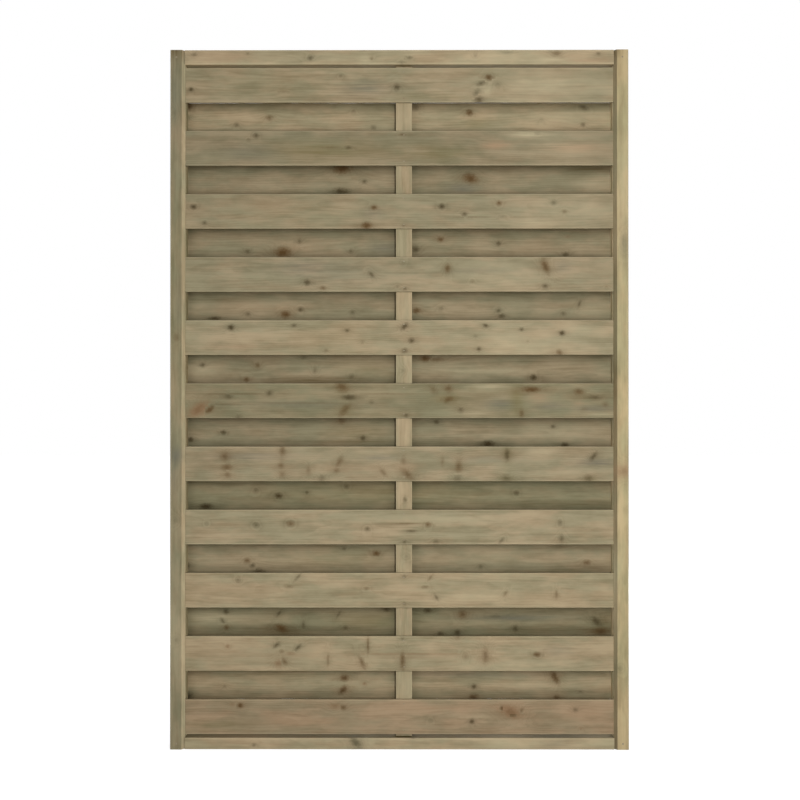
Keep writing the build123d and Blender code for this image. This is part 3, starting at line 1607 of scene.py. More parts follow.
FRONT_KNOTS = (
    (
        Knot(190.5, 89, 5.5, 0.85),
        Knot(340, 75, 4.5, 0.3),
        Knot(283, 91, 4.0, 0.28, BROWN, 3.0),
        Knot(396.5, 86.5, 7.5, 0.7),
        Knot(488.5, 77, 7.5, 0.9, BROWN, 1.2),
        Knot(481, 82.5, 7.0, 0.6, DARK, 1.3, 0.8),
        Knot(476, 92, 11.0, 0.65, GREY, 0.7, 0.5),
        Knot(478.5, 99.5, 9.0, 0.7, DARK, 1.2),
        Knot(497, 83, 9.0, 0.4, GREY),
    ),
    (
        Knot(255.5, 135, 6.0, 0.65),
        Knot(248, 139, 4.0, 0.3),
        Knot(348, 147, 4.5, 0.5, DARK, 1.6),
        Knot(330, 147, 2.4, 0.35, BROWN, 9.0),
        Knot(402, 134, 3.4, 0.5, BROWN, 2.6),
        Knot(537, 133, 6.0, 0.3, GREY, 1.6),
        Knot(455, 158, 5.0, 0.25, GREY, 2.0),
    ),
    (
        Knot(193, 206.5, 6.0, 0.85, DARK, 1.2),
        Knot(204, 222.5, 5.5, 0.6),
        Knot(373.5, 207, 6.0, 0.85, BROWN, 1.3),
        Knot(366, 225, 9.0, 0.95, BROWN, 1.2),
        Knot(441, 206, 6.0, 0.85, DARK, 1.15),
        Knot(498.5, 202.5, 6.0, 0.8, BROWN),
        Knot(464, 213.5, 5.8, 0.6),
        Knot(553, 202, 6.5, 0.7, GREY),
        Knot(564, 211, 5.0, 0.4, BROWN, 1.2),
        Knot(502, 216, 4.5, 0.4, GREY, 1.8),
        Knot(468, 216.5, 1.8, 0.4, BROWN, 30.0),
        Knot(403, 225, 3.8, 0.4),
    ),
    (
        Knot(306.5, 282, 7.5, 0.7),
        Knot(322.5, 287.5, 5.0, 0.65, BROWN, 1.4),
        Knot(371, 274, 8.0, 0.6, DARK, 0.7, -0.5),
        Knot(447, 268, 10.0, 0.75, BROWN, 0.6),
        Knot(545, 266, 18.0, 0.8, BROWN, 0.45, -0.35),
        Knot(544.5, 285.5, 6.5, 0.6),
        Knot(472, 281, 5.0, 0.35, BROWN),
        Knot(404.5, 288, 4.0, 0.5),
        Knot(397, 286, 4.0, 0.3),
        Knot(402, 262, 5.0, 0.3, GREY),
        Knot(606, 286, 4.0, 0.3, RED),
    ),
    (
        Knot(230.5, 327, 7.5, 0.9, DARK, 1.1),
        Knot(293.5, 325, 5.0, 0.55, DARK, 1.3),
        Knot(346.5, 330, 4.5, 0.6),
        Knot(362, 341, 5.0, 0.3, BROWN),
        Knot(325.5, 350, 5.0, 0.35, BROWN),
        Knot(404, 326, 8.5, 0.8, DARK, 0.9, 0.5),
        Knot(411, 340, 6.8, 0.75),
        Knot(404, 350, 7.0, 0.6),
        Knot(485, 325, 5.5, 0.8, DARK, 1.1, -0.4),
        Knot(521, 329, 4.5, 0.7),
        Knot(475, 336, 5.0, 0.3),
        Knot(478.5, 348.5, 5.5, 0.7),
        Knot(561.5, 332.5, 6.2, 0.9, DARK, 1.15),
        Knot(559, 352, 8.0, 0.65, BROWN, 0.9, -0.3),
        Knot(527, 341, 5.0, 0.2),
    ),
    (
        Knot(198, 409, 20.0, 0.9, RED, 0.9, 0.7),
        Knot(209, 409, 10.0, 0.85, BROWN, 0.9, 0.6),
        Knot(228, 396, 7.5, 0.5, DARK, 1.3),
        Knot(269, 392.5, 7.5, 0.6),
        Knot(348.5, 397, 7.5, 0.75, DARK, 2.0),
        Knot(341, 386, 13.5, 0.6, BROWN, 1.0, -0.4),
        Knot(344, 410, 16.0, 0.65, BROWN, 0.6, 0.6),
        Knot(238, 417, 7.0, 0.4),
        Knot(371, 402, 5.5, 0.3),
        Knot(448, 388, 9.5, 0.7, BROWN, 0.9),
        Knot(448, 399, 7.5, 0.7, BROWN, 1.3, 0.6),
        Knot(460.5, 409.5, 7.5, 0.5),
        Knot(433, 389, 11.0, 0.4, BROWN, 0.8, -0.5),
        Knot(521, 413, 12.0, 0.6, BROWN, 0.5),
        Knot(531, 389, 7.5, 0.95, BROWN, 2.6),
        Knot(578, 391, 8.0, 0.75, BROWN, 1.3),
        Knot(595, 397, 6.0, 0.5, DARK, 2.4),
        Knot(405.5, 415, 5.5, 0.6),
        Knot(605, 404, 7.0, 0.4, BROWN),
        Knot(235, 393.5, 1.6, 0.4, BROWN, 60.0),
        Knot(218, 403.5, 1.6, 0.4, BROWN, 50.0),
        Knot(305, 402.5, 1.6, 0.35, BROWN, 55.0),
        Knot(385, 393.5, 1.6, 0.35, BROWN, 40.0),
    ),
    (
        Knot(224, 456, 11.5, 0.6, BROWN, 0.9),
        Knot(226.5, 467, 9.5, 0.6, BROWN, 1.2),
        Knot(227, 474, 8.0, 0.5, BROWN),
        Knot(282, 450, 12.0, 0.6, BROWN, 0.6),
        Knot(280.5, 465, 7.0, 0.5, BROWN),
        Knot(281.5, 474, 9.5, 0.4, BROWN, 0.8),
        Knot(308, 470, 12.0, 0.4, BROWN, 0.5),
        Knot(339, 461, 15.0, 0.6, BROWN, 0.5, 0.4),
        Knot(336, 470, 8.0, 0.5, BROWN),
        Knot(383, 472, 12.0, 0.5, BROWN, 0.6, -0.6),
        Knot(321, 478, 8.0, 0.4),
        Knot(403, 460, 12.0, 0.4, BROWN, 0.5),
        Knot(407, 474, 15.0, 0.6, BROWN, 0.7, -0.7),
        Knot(442, 461, 12.0, 0.4, BROWN, 0.4),
        Knot(458, 466, 13.5, 0.6, BROWN, 0.6),
        Knot(457, 478, 9.0, 0.4),
        Knot(506.5, 454, 15.0, 0.7, DARK, 0.4),
        Knot(506, 478, 9.5, 0.45, DARK, 1.4),
        Knot(593, 456, 11.0, 0.7, DARK, 0.6, 0.6),
        Knot(588, 478, 9.5, 0.5, DARK, 0.9),
    ),
    (
        Knot(290, 523, 7.0, 0.65, BROWN, 1.2),
        Knot(255.5, 524.5, 6.0, 0.5, DARK, 1.1),
        Knot(206, 523, 5.0, 0.25),
        Knot(367, 528.5, 6.0, 0.6),
        Knot(427.5, 524, 6.2, 0.7, BROWN),
        Knot(411, 530.5, 3.2, 0.6, DARK, 4.0),
        Knot(404, 541, 4.5, 0.5),
        Knot(435.5, 541, 5.5, 0.4, DARK, 1.2),
        Knot(559.5, 522, 7.0, 0.5, DARK, 0.8),
        Knot(561, 538, 10.0, 0.55, DARK, 0.6),
        Knot(501, 540, 8.0, 0.5, DARK, 0.6, 0.7),
        Knot(407, 523, 1.8, 0.4, BROWN, 16.0),
    ),
    (
        Knot(237.5, 580, 7.0, 0.45, DARK, 0.8),
        Knot(297, 577, 10.0, 0.5, DARK, 0.45, 0.8),
        Knot(288, 586, 4.0, 0.45, BROWN, 2.2),
        Knot(366, 588, 4.5, 0.4, BROWN, 1.6),
        Knot(404, 576, 4.5, 0.5),
        Knot(430, 577, 8.0, 0.5, BROWN, 0.5, 0.7),
        Knot(424.5, 586.5, 4.0, 0.5, BROWN, 1.9),
        Knot(436, 597, 9.0, 0.55, DARK, 0.4, -0.5),
        Knot(505, 593, 9.0, 0.45, BROWN, 0.5, 0.4),
        Knot(556, 594, 11.0, 0.5, BROWN, 0.3),
        Knot(404, 603, 4.5, 0.4),
    ),
    (
        Knot(227, 646, 5.5, 0.6, RED),
        Knot(276, 644.5, 8.0, 0.65, DARK, 0.7, 0.7),
        Knot(281, 651, 5.0, 0.4, BROWN),
        Knot(297.5, 647, 9.0, 0.65, DARK, 0.6, 0.8),
        Knot(290, 653, 4.0, 0.4, RED, 2.0),
        Knot(278, 663, 10.0, 0.6, RED, 0.9),
        Knot(284, 661, 9.0, 0.6, BROWN, 0.6, -0.4),
        Knot(327.5, 660, 16.0, 0.45, BROWN, 0.2),
        Knot(367.5, 644, 24.0, 0.6, BROWN, 0.12),
        Knot(361.5, 662, 16.0, 0.65, BROWN, 0.35, -0.4),
        Knot(415, 653.5, 1.8, 0.45, RED, 75.0),
        Knot(402, 661, 22.0, 0.75, BROWN, 0.28),
        Knot(402, 638.5, 4.5, 0.4),
        Knot(485, 655, 20.0, 0.6, BROWN, 0.42),
        Knot(536.5, 654, 6.2, 0.85, BROWN, 1.3),
        Knot(465, 656, 9.0, 0.3, BROWN, 0.8),
        Knot(457, 637, 7.0, 0.4, BROWN),
    ),
    (
        Knot(240, 705, 6.2, 0.9, BROWN, 1.0),
        Knot(232, 704, 5.0, 0.4, RED, 1.4),
        Knot(343, 707, 6.8, 0.65, BROWN, 1.2),
        Knot(334, 706, 8.0, 0.5, RED, 1.5),
        Knot(471.5, 721, 6.5, 0.8, DARK, 0.9),
        Knot(510, 711.5, 17.0, 0.9, RED, 1.2, -0.6),
        Knot(511, 713, 12.0, 0.75, BROWN, 1.3, -0.5),
        Knot(521, 710, 8.0, 0.5, BROWN, 0.6, 0.5),
        Knot(502, 708, 6.0, 0.8, BROWN, 1.0),
        Knot(575, 709, 6.0, 0.45),
        Knot(430, 720, 5.0, 0.3, GREY),
        Knot(580.5, 728, 4.5, 0.4, RED),
    ),
)

BACK_KNOTS = (
    (
        Knot(188, 105.5, 9.0, 0.85, BROWN),
        Knot(187, 118, 6.0, 0.4),
        Knot(236, 124.5, 5.8, 0.5),
        Knot(269, 117, 7.0, 0.6, BROWN, 1.2),
        Knot(353, 111, 5.0, 0.35),
        Knot(373, 127, 6.0, 0.5),
        Knot(415, 107, 9.0, 0.42),
        Knot(469, 112, 8.0, 0.9, BROWN),
        Knot(583, 107, 7.0, 0.6, DARK, 1.3, -0.6),
        Knot(582.5, 124, 5.8, 0.55),
        Knot(541, 119, 6.0, 0.2),
    ),
    (
        Knot(341, 168, 13.0, 1.0, BROWN, 1.6),
        Knot(341, 191, 9.0, 0.9, DARK, 2.2),
        Knot(364, 181, 6.0, 0.6),
        Knot(470, 178, 13.0, 0.95, BROWN, 1.2, -0.3),
    ),
    (
        Knot(282.5, 252, 13.0, 1.0, BROWN, 1.4),
        Knot(282, 252, 6.0, 0.6, DARK, 1.4),
        Knot(299, 241, 6.0, 0.45),
        Knot(247, 251, 6.0, 0.5),
        Knot(350.5, 251, 6.0, 0.45),
        Knot(440, 239, 7.0, 0.85, BROWN, 1.1),
        Knot(415, 249, 8.5, 0.7, DARK, 1.1),
        Knot(498, 243, 6.2, 0.7),
        Knot(565, 254, 6.5, 0.7, DARK, 1.3),
        Knot(567, 236, 5.0, 0.3, RED, 1.4),
    ),
    (
        Knot(214, 318, 5.0, 0.85, DARK, 3.0),
        Knot(247.5, 313.5, 6.0, 0.5),
        Knot(285, 314, 9.0, 0.95, BROWN, 1.2),
        Knot(300, 309, 6.0, 0.7),
        Knot(352, 312, 5.8, 0.45),
        Knot(416, 310, 7.0, 0.85, BROWN, 1.3),
        Knot(440.5, 308, 6.0, 0.4),
        Knot(498, 310, 5.8, 0.6),
        Knot(501, 315.5, 6.0, 0.7, DARK, 1.2),
        Knot(563, 313, 5.8, 0.5),
        Knot(579, 303, 10.0, 0.5, DARK, 0.4, 0.4),
    ),
    (
        Knot(202, 364.5, 6.2, 0.7),
        Knot(257, 365, 6.2, 0.6, BROWN),
        Knot(314.5, 370, 8.0, 0.4, DARK, 0.7),
        Knot(351, 376, 6.5, 0.4),
        Knot(246, 379, 6.0, 0.85, BROWN, 1.1),
        Knot(303, 357, 5.0, 0.35, DARK, 1.4),
        Knot(425, 358, 8.0, 0.95, BROWN, 1.6),
        Knot(436, 359, 6.0, 0.6, BROWN, 3.0),
        Knot(533, 377, 7.5, 0.9),
    ),
    (
        Knot(223, 432, 6.0, 0.8),
        Knot(190, 439, 7.0, 0.9),
        Knot(362.5, 437.5, 6.0, 0.8),
        Knot(341, 420, 10.0, 0.6, BROWN, 1.1),
        Knot(436, 421.5, 5.5, 0.7, DARK, 1.2),
        Knot(487.5, 443.5, 8.5, 1.0, DARK, 1.8),
        Knot(564.5, 444.5, 7.0, 0.85, DARK, 1.3),
        Knot(552.5, 426, 5.0, 0.6),
    ),
    (
        Knot(278, 495.5, 7.2, 0.95, DARK, 1.2),
        Knot(205.5, 506, 7.0, 1.0, DARK, 2.0),
        Knot(255.5, 490, 6.0, 0.5),
        Knot(306.5, 492, 5.0, 0.6),
        Knot(346, 486, 6.0, 0.5),
        Knot(516, 492.5, 5.8, 0.65, DARK, 1.2),
    ),
    (
        Knot(246.5, 560, 6.5, 0.7, BROWN, 1.1),
        Knot(252, 565, 6.0, 0.55),
        Knot(258, 571, 8.0, 0.75, DARK, 1.8),
        Knot(376, 553, 7.0, 0.9, BROWN, 1.2),
        Knot(343.5, 548, 5.5, 0.5),
        Knot(186.5, 565, 7.0, 0.8),
        Knot(586.5, 562, 7.0, 0.7, BROWN, 1.2),
        Knot(480, 566, 6.0, 0.4),
        Knot(561, 546, 4.0, 0.35, BROWN, 4.0),
    ),
    (
        Knot(225.5, 611, 7.0, 0.7),
        Knot(222, 620, 7.0, 0.6, DARK, 0.7, -0.5),
        Knot(226, 627, 7.0, 0.7, BROWN, 0.9),
        Knot(278.5, 613, 8.0, 0.6, DARK, 0.5, 0.6),
        Knot(281, 628, 10.0, 0.95, BROWN, 1.4, -0.5),
        Knot(338, 614, 10.0, 0.45, DARK, 0.4, 0.5),
        Knot(303, 624, 10.0, 0.5, DARK, 0.5),
        Knot(386, 608.5, 7.0, 0.75, DARK, 1.3),
        Knot(345, 627, 6.0, 0.5),
        Knot(427, 610, 6.0, 0.8, DARK, 1.6),
        Knot(462, 614, 11.0, 0.7, BROWN, 0.9),
        Knot(495, 616, 7.0, 0.5, GREY, 3.0),
        Knot(457, 632, 8.0, 0.8),
        Knot(440, 633, 6.0, 0.7, DARK, 1.4),
        Knot(515, 628, 9.0, 0.65, DARK, 0.7),
        Knot(596, 621, 12.0, 0.75, DARK, 0.8, -0.6),
        Knot(600, 631, 9.0, 0.8, BROWN, 2.0),
    ),
    (
        Knot(344, 677.5, 8.0, 0.9, BROWN, 1.2),
        Knot(342.5, 689.5, 11.0, 0.9, BROWN, 0.9, 0.5),
        Knot(364, 683, 4.8, 0.65, RED),
        Knot(187, 695.5, 10.0, 0.8, DARK, 1.2),
        Knot(224, 686, 5.0, 0.3),
        Knot(473.5, 686, 6.5, 0.8),
        Knot(473, 697, 9.0, 0.85, BROWN, 1.4),
        Knot(554.5, 677, 16.0, 0.9, BROWN, 0.55, -0.45),
        Knot(556, 697, 6.5, 0.7, BROWN, 1.2),
        Knot(580, 691, 4.0, 0.35, DARK, 1.6),
    ),
)

TOP_RAIL_KNOTS = (
    Knot(193.5, 54, 5.5, 0.5, DARK, 1.2),
    Knot(247, 53, 4.0, 0.3),
    Knot(310, 57.5, 6.5, 0.65, DARK, 1.2, 0.3),
    Knot(371, 58, 4.5, 0.45, BROWN),
    Knot(401, 62, 4.5, 0.3, DARK, 1.2),
    Knot(409, 57, 4.2, 0.5, DARK, 1.1),
    Knot(475, 55, 5.0, 0.3, GREY),
    Knot(556, 53, 7.0, 0.5, BROWN, 1.7),
    Knot(598, 53, 5.0, 0.45),
    Knot(507, 52, 4.0, 0.3, GREY, 3.0),
)
BOTTOM_RAIL_KNOTS = (
    Knot(355, 742, 15.0, 0.9, GREY, 0.8, -0.5),
    Knot(253.5, 744.5, 4.5, 0.5),
    Knot(413, 737, 4.0, 0.5, DARK, 1.4),
)
LEFT_STILE_KNOTS = (
    Knot(176, 337, 8.0, 0.4, BROWN),
    Knot(175, 520, 9.0, 0.4, GREY),
    Knot(174, 112, 9.0, 0.35, GREY, 0.7),
    Knot(176, 640, 8.0, 0.35, GREY),
)
RIGHT_STILE_KNOTS = (
    Knot(623, 471, 13.0, 0.5, RED, 1.4),
    Knot(624, 240, 20.0, 0.35, GREY, 0.5),
    Knot(619.5, 668, 7.0, 0.35, GREY),
)
MUNTIN_KNOTS = (
    Knot(404.5, 499, 5.8, 0.45),
    Knot(403, 370, 6.0, 0.35, GREY),
    Knot(406, 556, 7.0, 0.3, GREY),
)

FRONT_PATCHES = (
    (
        Patch(BLUING, 365, 88, 60, 22, 0.45),
        Patch(PALE, 486, 90, 12, 14, 0.5),
        Patch(OLIVE, 430, 96, 110, 8, 0.35),
        Patch(PALE, 550, 85, 170, 40, 0.4),
        Patch(OLIVE, 270, 84, 200, 40, 0.25),
    ),
    (
        Patch(OLIVE, 320, 150, 190, 28, 0.62),
        Patch(BLUING, 250, 152, 70, 22, 0.45),
        Patch(PALE, 215, 158, 60, 8, 0.25),
        Patch(OLIVE, 440, 153, 80, 24, 0.5),
        Patch(BLUSH, 575, 147, 90, 14, 0.9),
        Patch(PALE, 560, 148, 110, 40, 0.25),
        Patch(PALE, 532, 134, 50, 7, 0.8),
        Patch(BLUSH, 495, 145, 36, 9, 0.9),
    ),
    (
        Patch(BLUSH, 255, 205, 150, 14, 0.25),
        Patch(PALE, 530, 222, 60, 8, 0.4),
        Patch(BLUING, 372, 213, 26, 14, 0.4),
        Patch(OLIVE, 300, 214, 220, 40, 0.2),
        Patch(PALE, 570, 210, 130, 40, 0.3),
    ),
    (
        Patch(BLUING, 300, 266, 60, 16, 0.35),
        Patch(BLUING, 480, 270, 90, 6, 0.35),
        Patch(BLUSH, 270, 287, 90, 8, 0.3),
        Patch(BLUING, 562, 266, 22, 14, 0.4),
        Patch(BLUSH, 600, 270, 60, 24, 0.3),
        Patch(BLUING, 330, 272, 130, 30, 0.25),
        Patch(STAIN, 545, 262, 9, 26, 0.35),
        Patch(STAIN, 447, 266, 12, 16, 0.3),
        Patch(PALE, 500, 276, 110, 40, 0.25),
    ),
    (
        Patch(BLUSH, 230, 347, 60, 6, 0.5),
        Patch(PALE, 520, 345, 150, 26, 0.35),
        Patch(PALE, 585, 330, 50, 10, 0.35),
        Patch(OLIVE, 330, 338, 130, 40, 0.2),
    ),
    (
        Patch(OLIVE, 516, 401, 18, 34, 0.85),
        Patch(BLUING, 500, 404, 40, 14, 0.55),
        Patch(BLUSH, 539, 397, 26, 14, 0.5),
        Patch(BLUING, 550, 406, 36, 10, 0.6),
        Patch(STAIN, 586, 396, 44, 6, 0.65),
        Patch(BLUSH, 578, 404, 16, 8, 0.5),
        Patch(BLUING, 592, 408, 48, 6, 0.7),
        Patch(STAIN, 583, 409, 10, 5, 0.4),
        Patch(OLIVE, 446, 398, 34, 12, 0.5),
        Patch(STAIN, 472, 389, 10, 8, 0.3),
        Patch(BLUING, 300, 404, 170, 10, 0.3),
        Patch(PALE, 490, 386, 50, 5, 0.5),
        Patch(PALE, 600, 414, 40, 5, 0.4),
        Patch(PALE, 470, 413, 50, 5, 0.35),
        Patch(STAIN, 342, 388, 16, 18, 0.5),
        Patch(OLIVE, 345, 408, 20, 20, 0.4),
        Patch(BLUSH, 205, 392, 50, 20, 0.25),
    ),
    (
        Patch(BLUING, 250, 456, 90, 9, 0.55),
        Patch(BLUING, 596, 462, 50, 8, 0.75),
        Patch(PALE, 541, 451, 42, 9, 0.4),
        Patch(BLUING, 487, 459, 70, 5, 0.5),
        Patch(OLIVE, 507, 455, 12, 26, 0.6),
        Patch(OLIVE, 505, 478, 22, 9, 0.5),
        Patch(OLIVE, 589, 479, 18, 10, 0.5),
        Patch(STAIN, 459, 462, 9, 30, 0.35),
        Patch(BLUSH, 405, 466, 22, 30, 0.4),
        Patch(BLUING, 380, 457, 44, 7, 0.55),
        Patch(STAIN, 226, 464, 12, 30, 0.35),
        Patch(STAIN, 281, 462, 9, 34, 0.3),
        Patch(BLUSH, 340, 468, 100, 10, 0.35),
        Patch(PALE, 370, 452, 60, 7, 0.35),
        Patch(PALE, 560, 474, 60, 7, 0.35),
    ),
    (
        Patch(STAIN, 400, 523, 60, 4, 0.35),
        Patch(PALE, 450, 518, 110, 8, 0.25),
        Patch(BLUSH, 545, 522, 60, 12, 0.25),
    ),
    (
        Patch(BLUSH, 235, 588, 90, 6, 0.3),
        Patch(PALE, 480, 596, 110, 14, 0.3),
        Patch(BLUSH, 420, 586, 120, 5, 0.3),
    ),
    (
        Patch(BLUSH, 260, 655, 200, 26, 0.28),
        Patch(BLUSH, 420, 656, 110, 12, 0.3),
        Patch(PALE, 500, 664, 110, 10, 0.3),
        Patch(BLUING, 558, 650, 40, 16, 0.3),
    ),
    (
        Patch(BLUSH, 430, 707, 130, 9, 0.6),
        Patch(BLUSH, 585, 714, 80, 24, 0.5),
        Patch(BLUSH, 290, 722, 160, 12, 0.3),
        Patch(OLIVE, 215, 725, 80, 14, 0.4),
        Patch(PALE, 480, 716, 60, 6, 0.35),
    ),
)
BACK_PATCHES = (
    (
        Patch(PALE, 570, 116, 100, 20, 0.25),
        Patch(OLIVE, 474, 123, 36, 18, 0.55),
    ),
    (
        Patch(STAIN, 592, 168, 66, 8, 0.75),
        Patch(BLUING, 462, 188, 40, 13, 0.7),
        Patch(PALE, 592, 182, 60, 14, 0.28),
    ),
    (
        Patch(BLUING, 385, 248, 40, 18, 0.5),
        Patch(BLUSH, 300, 245, 80, 16, 0.3),
        Patch(BLUSH, 530, 248, 60, 12, 0.25),
    ),
    (
        Patch(STAIN, 230, 299, 90, 6, 0.35),
        Patch(BLUSH, 260, 306, 120, 14, 0.3),
        Patch(PALE, 590, 310, 50, 20, 0.3),
    ),
    (
        Patch(STAIN, 310, 380, 110, 7, 0.75),
        Patch(PALE, 205, 368, 45, 18, 0.35),
        Patch(PALE, 480, 371, 100, 5, 0.45),
        Patch(OLIVE, 365, 369, 75, 26, 0.3),
    ),
    (
        Patch(OLIVE, 355, 432, 80, 26, 0.3),
        Patch(STAIN, 350, 442, 120, 5, 0.4),
        Patch(PALE, 560, 430, 120, 24, 0.22),
    ),
    (
        Patch(OLIVE, 390, 492, 260, 30, 0.35),
        Patch(STAIN, 560, 503, 120, 7, 0.5),
    ),
    (
        Patch(STAIN, 580, 568, 80, 6, 0.5),
        Patch(OLIVE, 330, 558, 120, 26, 0.32),
        Patch(PALE, 490, 555, 100, 24, 0.22),
    ),
    (
        Patch(BLUING, 515, 617, 130, 8, 0.75),
        Patch(PALE, 215, 617, 90, 18, 0.5),
        Patch(STAIN, 540, 630, 120, 8, 0.4),
        Patch(STAIN, 605, 620, 30, 20, 0.4),
        Patch(STAIN, 285, 632, 60, 9, 0.5),
        Patch(STAIN, 600, 630, 40, 10, 0.5),
        Patch(OLIVE, 370, 622, 90, 22, 0.45),
    ),
    (
        Patch(BLUING, 470, 674, 170, 8, 0.35),
        Patch(OLIVE, 290, 674, 140, 9, 0.3),
        Patch(PALE, 520, 684, 90, 6, 0.3),
    ),
)
TOP_RAIL_PATCHES = (
    Patch(PALE, 366, 59, 18, 10, 0.6),
    Patch(PALE, 552, 59, 30, 5, 0.7),
    Patch(BLUSH, 585, 59, 70, 10, 0.6),
    Patch(PALE, 500, 58, 110, 14, 0.4),
    Patch(BLUSH, 230, 56, 120, 14, 0.35),
)
BOTTOM_RAIL_PATCHES = (
    Patch(PALE, 505, 742, 70, 14, 0.5),
    Patch(BLUSH, 240, 742, 120, 14, 0.3),
    Patch(PALE, 368, 743, 16, 12, 0.5),
    Patch(BLUING, 556, 743, 40, 12, 0.3),
    Patch(PALE, 600, 742, 60, 14, 0.5),
)
LEFT_STILE_PATCHES = (
    Patch(STAIN, 174, 50, 30, 22, 0.8),
    Patch(OLIVE, 175, 300, 30, 260, 0.35),
    Patch(BLUING, 174, 100, 16, 90, 0.4),
    Patch(BLUSH, 175, 135, 14, 30, 0.35),
    Patch(BLUSH, 175, 400, 14, 60, 0.3),
    Patch(BLUING, 176, 455, 14, 20, 0.7),
    Patch(BLUING, 173, 470, 16, 60, 0.4),
    Patch(BLUSH, 176, 590, 12, 60, 0.25),
    Patch(BLUING, 178, 300, 10, 90, 0.3),
    Patch(PALE, 175, 640, 30, 90, 0.3),
)
MUNTIN_PATCHES = (Patch(PALE, 404, 690, 40, 60, 0.4), Patch(PALE, 404, 115, 40, 50, 0.2))
RIGHT_STILE_PATCHES = (
    Patch(STAIN, 615, 52, 14, 10, 0.6),
    Patch(BLUSH, 623, 470, 22, 18, 0.8),
    Patch(PALE, 622, 200, 16, 180, 0.35),
    Patch(BLUING, 624, 245, 12, 40, 0.3),
    # The stain and the pale patch on column 614.5 lie on the right bevel and set how dark its painted shade is
    # along its length.
    Patch(STAIN, 614.5, 400, 7, 190, 0.5),
    Patch(PALE, 614.5, 580, 7, 110, 0.4),
)


@dataclass
class FencePanel:
    """The whole panel: its frame, its two rows of boards and its fasteners."""

    left_tone: Colour = srgb(138, 130, 105)
    # Painted light on the left stile's bevel, which is paler than its face.
    left_bevel_painted_light: Colour = srgb(176, 163, 134)
    right_tone: Colour = srgb(174, 160, 125)
    # Painted shade on the right stile's bevel, which is darker than its face.
    right_bevel_painted_shade: Colour = srgb(126, 116, 91)
    rail_tone: Colour = HONEY
    muntin_tone: Colour = STRAW
    # Painted light on the stiles' inner faces and groove walls.
    left_inside_painted_light: Colour = srgb(160, 148, 117)
    right_inside_painted_light: Colour = srgb(206, 192, 158)
    # Painted shade on the rails' inner faces.
    top_inside_painted_shade: Colour = srgb(142, 128, 97)
    bottom_inside_painted_shade: Colour = srgb(104, 92, 66)
    # Painted shade on the boards' overlapped margins and beside the uprights, from the top board to the bottom
    # one.
    high_painted_shade: PaintedShade = PaintedShade(0.64, 0.24, 15.0, 16.0)
    low_painted_shade: PaintedShade = PaintedShade(0.46, 0.60, 34.0, 20.0)
    fasteners: Sequence[str] = ("front_board_brads", "back_board_brads", "frame_pins")

    def timbers(self) -> Iterable[Timber]:
        """Gives every timber of the panel.

        Returns:
            The timbers in the order in which the panel is put together.
        """
        frame_slot, board_slot, muntin_slot = "frame_timber", "board_timber", "muntin_timber"
        # The stiles' bevels and inner faces carry painted light, save the right bevel, which carries painted
        # shade.
        left_painted_light_skins = {Skin.BEVEL: self.left_bevel_painted_light, Skin.INSIDE: self.left_inside_painted_light}
        right_painted_light_and_shade_skins = {Skin.BEVEL: self.right_bevel_painted_shade, Skin.INSIDE: self.right_inside_painted_light}
        for name, side, tone, skins, knots, patches in (
            ("left_stile", -1, self.left_tone, left_painted_light_skins, LEFT_STILE_KNOTS, LEFT_STILE_PATCHES),
            ("right_stile", 1, self.right_tone, right_painted_light_and_shade_skins, RIGHT_STILE_KNOTS, RIGHT_STILE_PATCHES),
        ):
            yield Stile(name, Grain.UPRIGHT, tone, frame_slot, knots, patches, skins, side)
        for name, inner, inside, knots, patches in (
            ("top_rail", -1, self.top_inside_painted_shade, TOP_RAIL_KNOTS, TOP_RAIL_PATCHES),
            ("bottom_rail", 1, self.bottom_inside_painted_shade, BOTTOM_RAIL_KNOTS, BOTTOM_RAIL_PATCHES),
        ):
            # The rails' inner faces carry painted shade.
            skins = {Skin.INSIDE: inside}
            yield Rail(name, Grain.LEVEL, self.rail_tone, frame_slot, knots, patches, skins, inner)
        marks = (MUNTIN_KNOTS, MUNTIN_PATCHES)
        yield Muntin("centre_muntin", Grain.UPRIGHT, self.muntin_tone, muntin_slot, *marks)
        for row, outer, tones, knots, patches in (
            ("front_board", -1, FRONT_TONES, FRONT_KNOTS, FRONT_PATCHES),
            ("back_board", 1, BACK_TONES, BACK_KNOTS, BACK_PATCHES),
        ):
            for number, (tone, board_knots, board_patches) in enumerate(zip(tones, knots, patches), start=1):
                down = (number - 1) / (len(tones) - 1)
                yield Board(
                    f"{row}_{number:02d}",
                    Grain.LEVEL,
                    tone,
                    board_slot,
                    board_knots,
                    board_patches,
                    outer=outer,
                    painted_shade=self.high_painted_shade.towards(self.low_painted_shade, down),
                )

    def build(self) -> None:
        """Makes every timber, and dresses the fasteners' solids where they are."""
        softwood = SoftwoodFinish().material()
        for timber in self.timbers():
            piece = timber.build(softwood)
            LOG.info("built %s with %d faces", piece.name, len(piece.data.polygons))
        wire = WireFinish().material()
        for node in self.fasteners:
            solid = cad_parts[node]
            solid.data.materials.clear()
            solid.data.materials.append(wire)
            LOG.info("dressed %s", node)


@dataclass(frozen=True)
class Softbox:
    """A lamp with a broad soft face.

    Attributes:
        name: its name.
        place: where its middle hangs, in metres.
        wide: its width.
        tall: its height.
        power: its power in watts.
    """

    name: str
    place: tuple[float, float, float]
    wide: float
    tall: float
    power: float

    def hang(self, aim: tuple[float, float, float]) -> None:
        """Hangs the lamp so that it faces a spot, out of the camera's sight.

        Args:
            aim: the spot, in metres.
        """
        data = bpy.data.lights.new(self.name, "AREA")
        data.shape = "RECTANGLE"
        data.size = self.wide
        data.size_y = self.tall
        data.energy = self.power
        lamp = put_in_scene(self.name, data)
        lamp.location = self.place
        lamp.rotation_euler = (Vector(aim) - Vector(self.place)).to_track_quat("-Z", "Y").to_euler()
        lamp.visible_camera = False


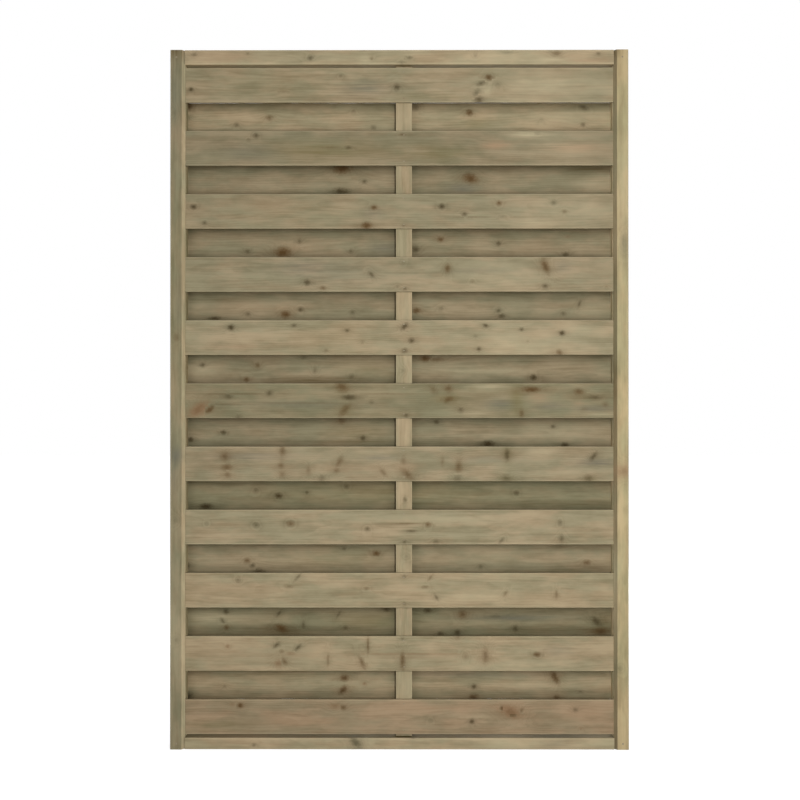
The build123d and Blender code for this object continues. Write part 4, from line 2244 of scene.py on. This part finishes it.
@dataclass
class Studio:
    """A white studio: a pale floor, a bright room, softboxes before and behind the panel, one over it."""

    floor_size: float = 30.0
    floor_colour: Colour = (0.45, 0.45, 0.45, 1.0)
    floor_roughness: float = 0.9
    glow_limits: Limits = (0.7, 1.9)
    wall_limits: Limits = (0.30, 0.08)
    near_glow: Colour = (0.84, 0.84, 0.84, 1.0)
    far_glow: Colour = (1.0, 1.0, 1.0, 1.0)
    wall_light: Colour = (0.24, 0.24, 0.24, 1.0)
    ceiling_light: Colour = (0.07, 0.07, 0.07, 1.0)
    white: Colour = (1.0, 1.0, 1.0, 1.0)
    black: Colour = (0.0, 0.0, 0.0, 1.0)
    aim: tuple[float, float, float] = (0.0, 0.0, 1.0)
    softboxes: Sequence[Softbox] = (
        Softbox("key_softbox", (0.36, -2.5, 1.1), 0.4, 1.8, 61.9),
        Softbox("fill_softbox", (-1.2, -2.4, 1.0), 1.0, 1.8, 4.5),
        Softbox("back_softbox", (0.6, 3.0, 1.4), 2.0, 1.8, 85.0),
        Softbox("top_softbox", (0.0, 0.0, 3.4), 1.4, 0.16, 14.0),
    )

    def build(self) -> None:
        """Sets up the floor, the room, the lamps and the camera."""
        self._lay_floor()
        self._light_room()
        for softbox in self.softboxes:
            softbox.hang(self.aim)
        VIEW.set_up()
        bpy.context.scene.view_settings.view_transform = "Standard"

    def _lay_floor(self) -> None:
        """Lays the pale floor, which shows white but keeps the panel's shadow."""
        half = self.floor_size / 2
        mesh = bpy.data.meshes.new("studio_floor")
        corners = [(-half, -half, 0.0), (half, -half, 0.0), (half, half, 0.0), (-half, half, 0.0)]
        mesh.from_pydata(corners, [], [(0, 1, 2, 3)])
        made = bpy.data.materials.new("pale_floor")
        bench = Bench(made)
        spot = bench.output("ShaderNodeTexCoord", name="Object")
        away = bench.output("ShaderNodeVectorMath", {"operation": "LENGTH"}, {0: spot}, "Value")
        glow = bench.mix(away.step(*self.glow_limits), self.near_glow, self.far_glow)
        bench.surface(
            {
                "Base Color": self.floor_colour,
                "Roughness": self.floor_roughness,
                "Specular IOR Level": 0.0,
                "Emission Color": bench.mix(bench.seen(), self.black, glow),
                "Emission Strength": 1.0,
            }
        )
        mesh.materials.append(made)
        floor = put_in_scene("studio_floor", mesh)
        floor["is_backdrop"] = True

    def _light_room(self) -> None:
        """Makes the room white to the eye and a soft light to the panel."""
        room = bpy.data.worlds.new("white_room")
        bench = Bench(room)
        _, _, rise = bench.split(bench.output("ShaderNodeTexCoord", name="Generated"))
        walls = bench.mix((rise * rise).step(*self.wall_limits), self.ceiling_light, self.wall_light)
        light = bench.mix(bench.seen(), walls, self.white)
        background = bench.output("ShaderNodeBackground", None, {"Color": light, "Strength": 1.0})
        bench.node("ShaderNodeOutputWorld", None, {"Surface": background})
        bpy.context.scene.world = room


def write_sizes() -> None:
    """Works out the solids' box and the dressed panel's box as plain numbers."""
    boxes = {"cad": CAD_BOX, "visual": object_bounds()}
    plain = {name: [[float(value) for value in corner] for corner in box] for name, box in boxes.items()}


def main() -> None:
    """Builds the panel and then the studio around it."""
    FencePanel().build()
    Studio().build()
    write_sizes()
    LOG.info("the panel stands in its studio")


if __name__ == "__main__":
    main()
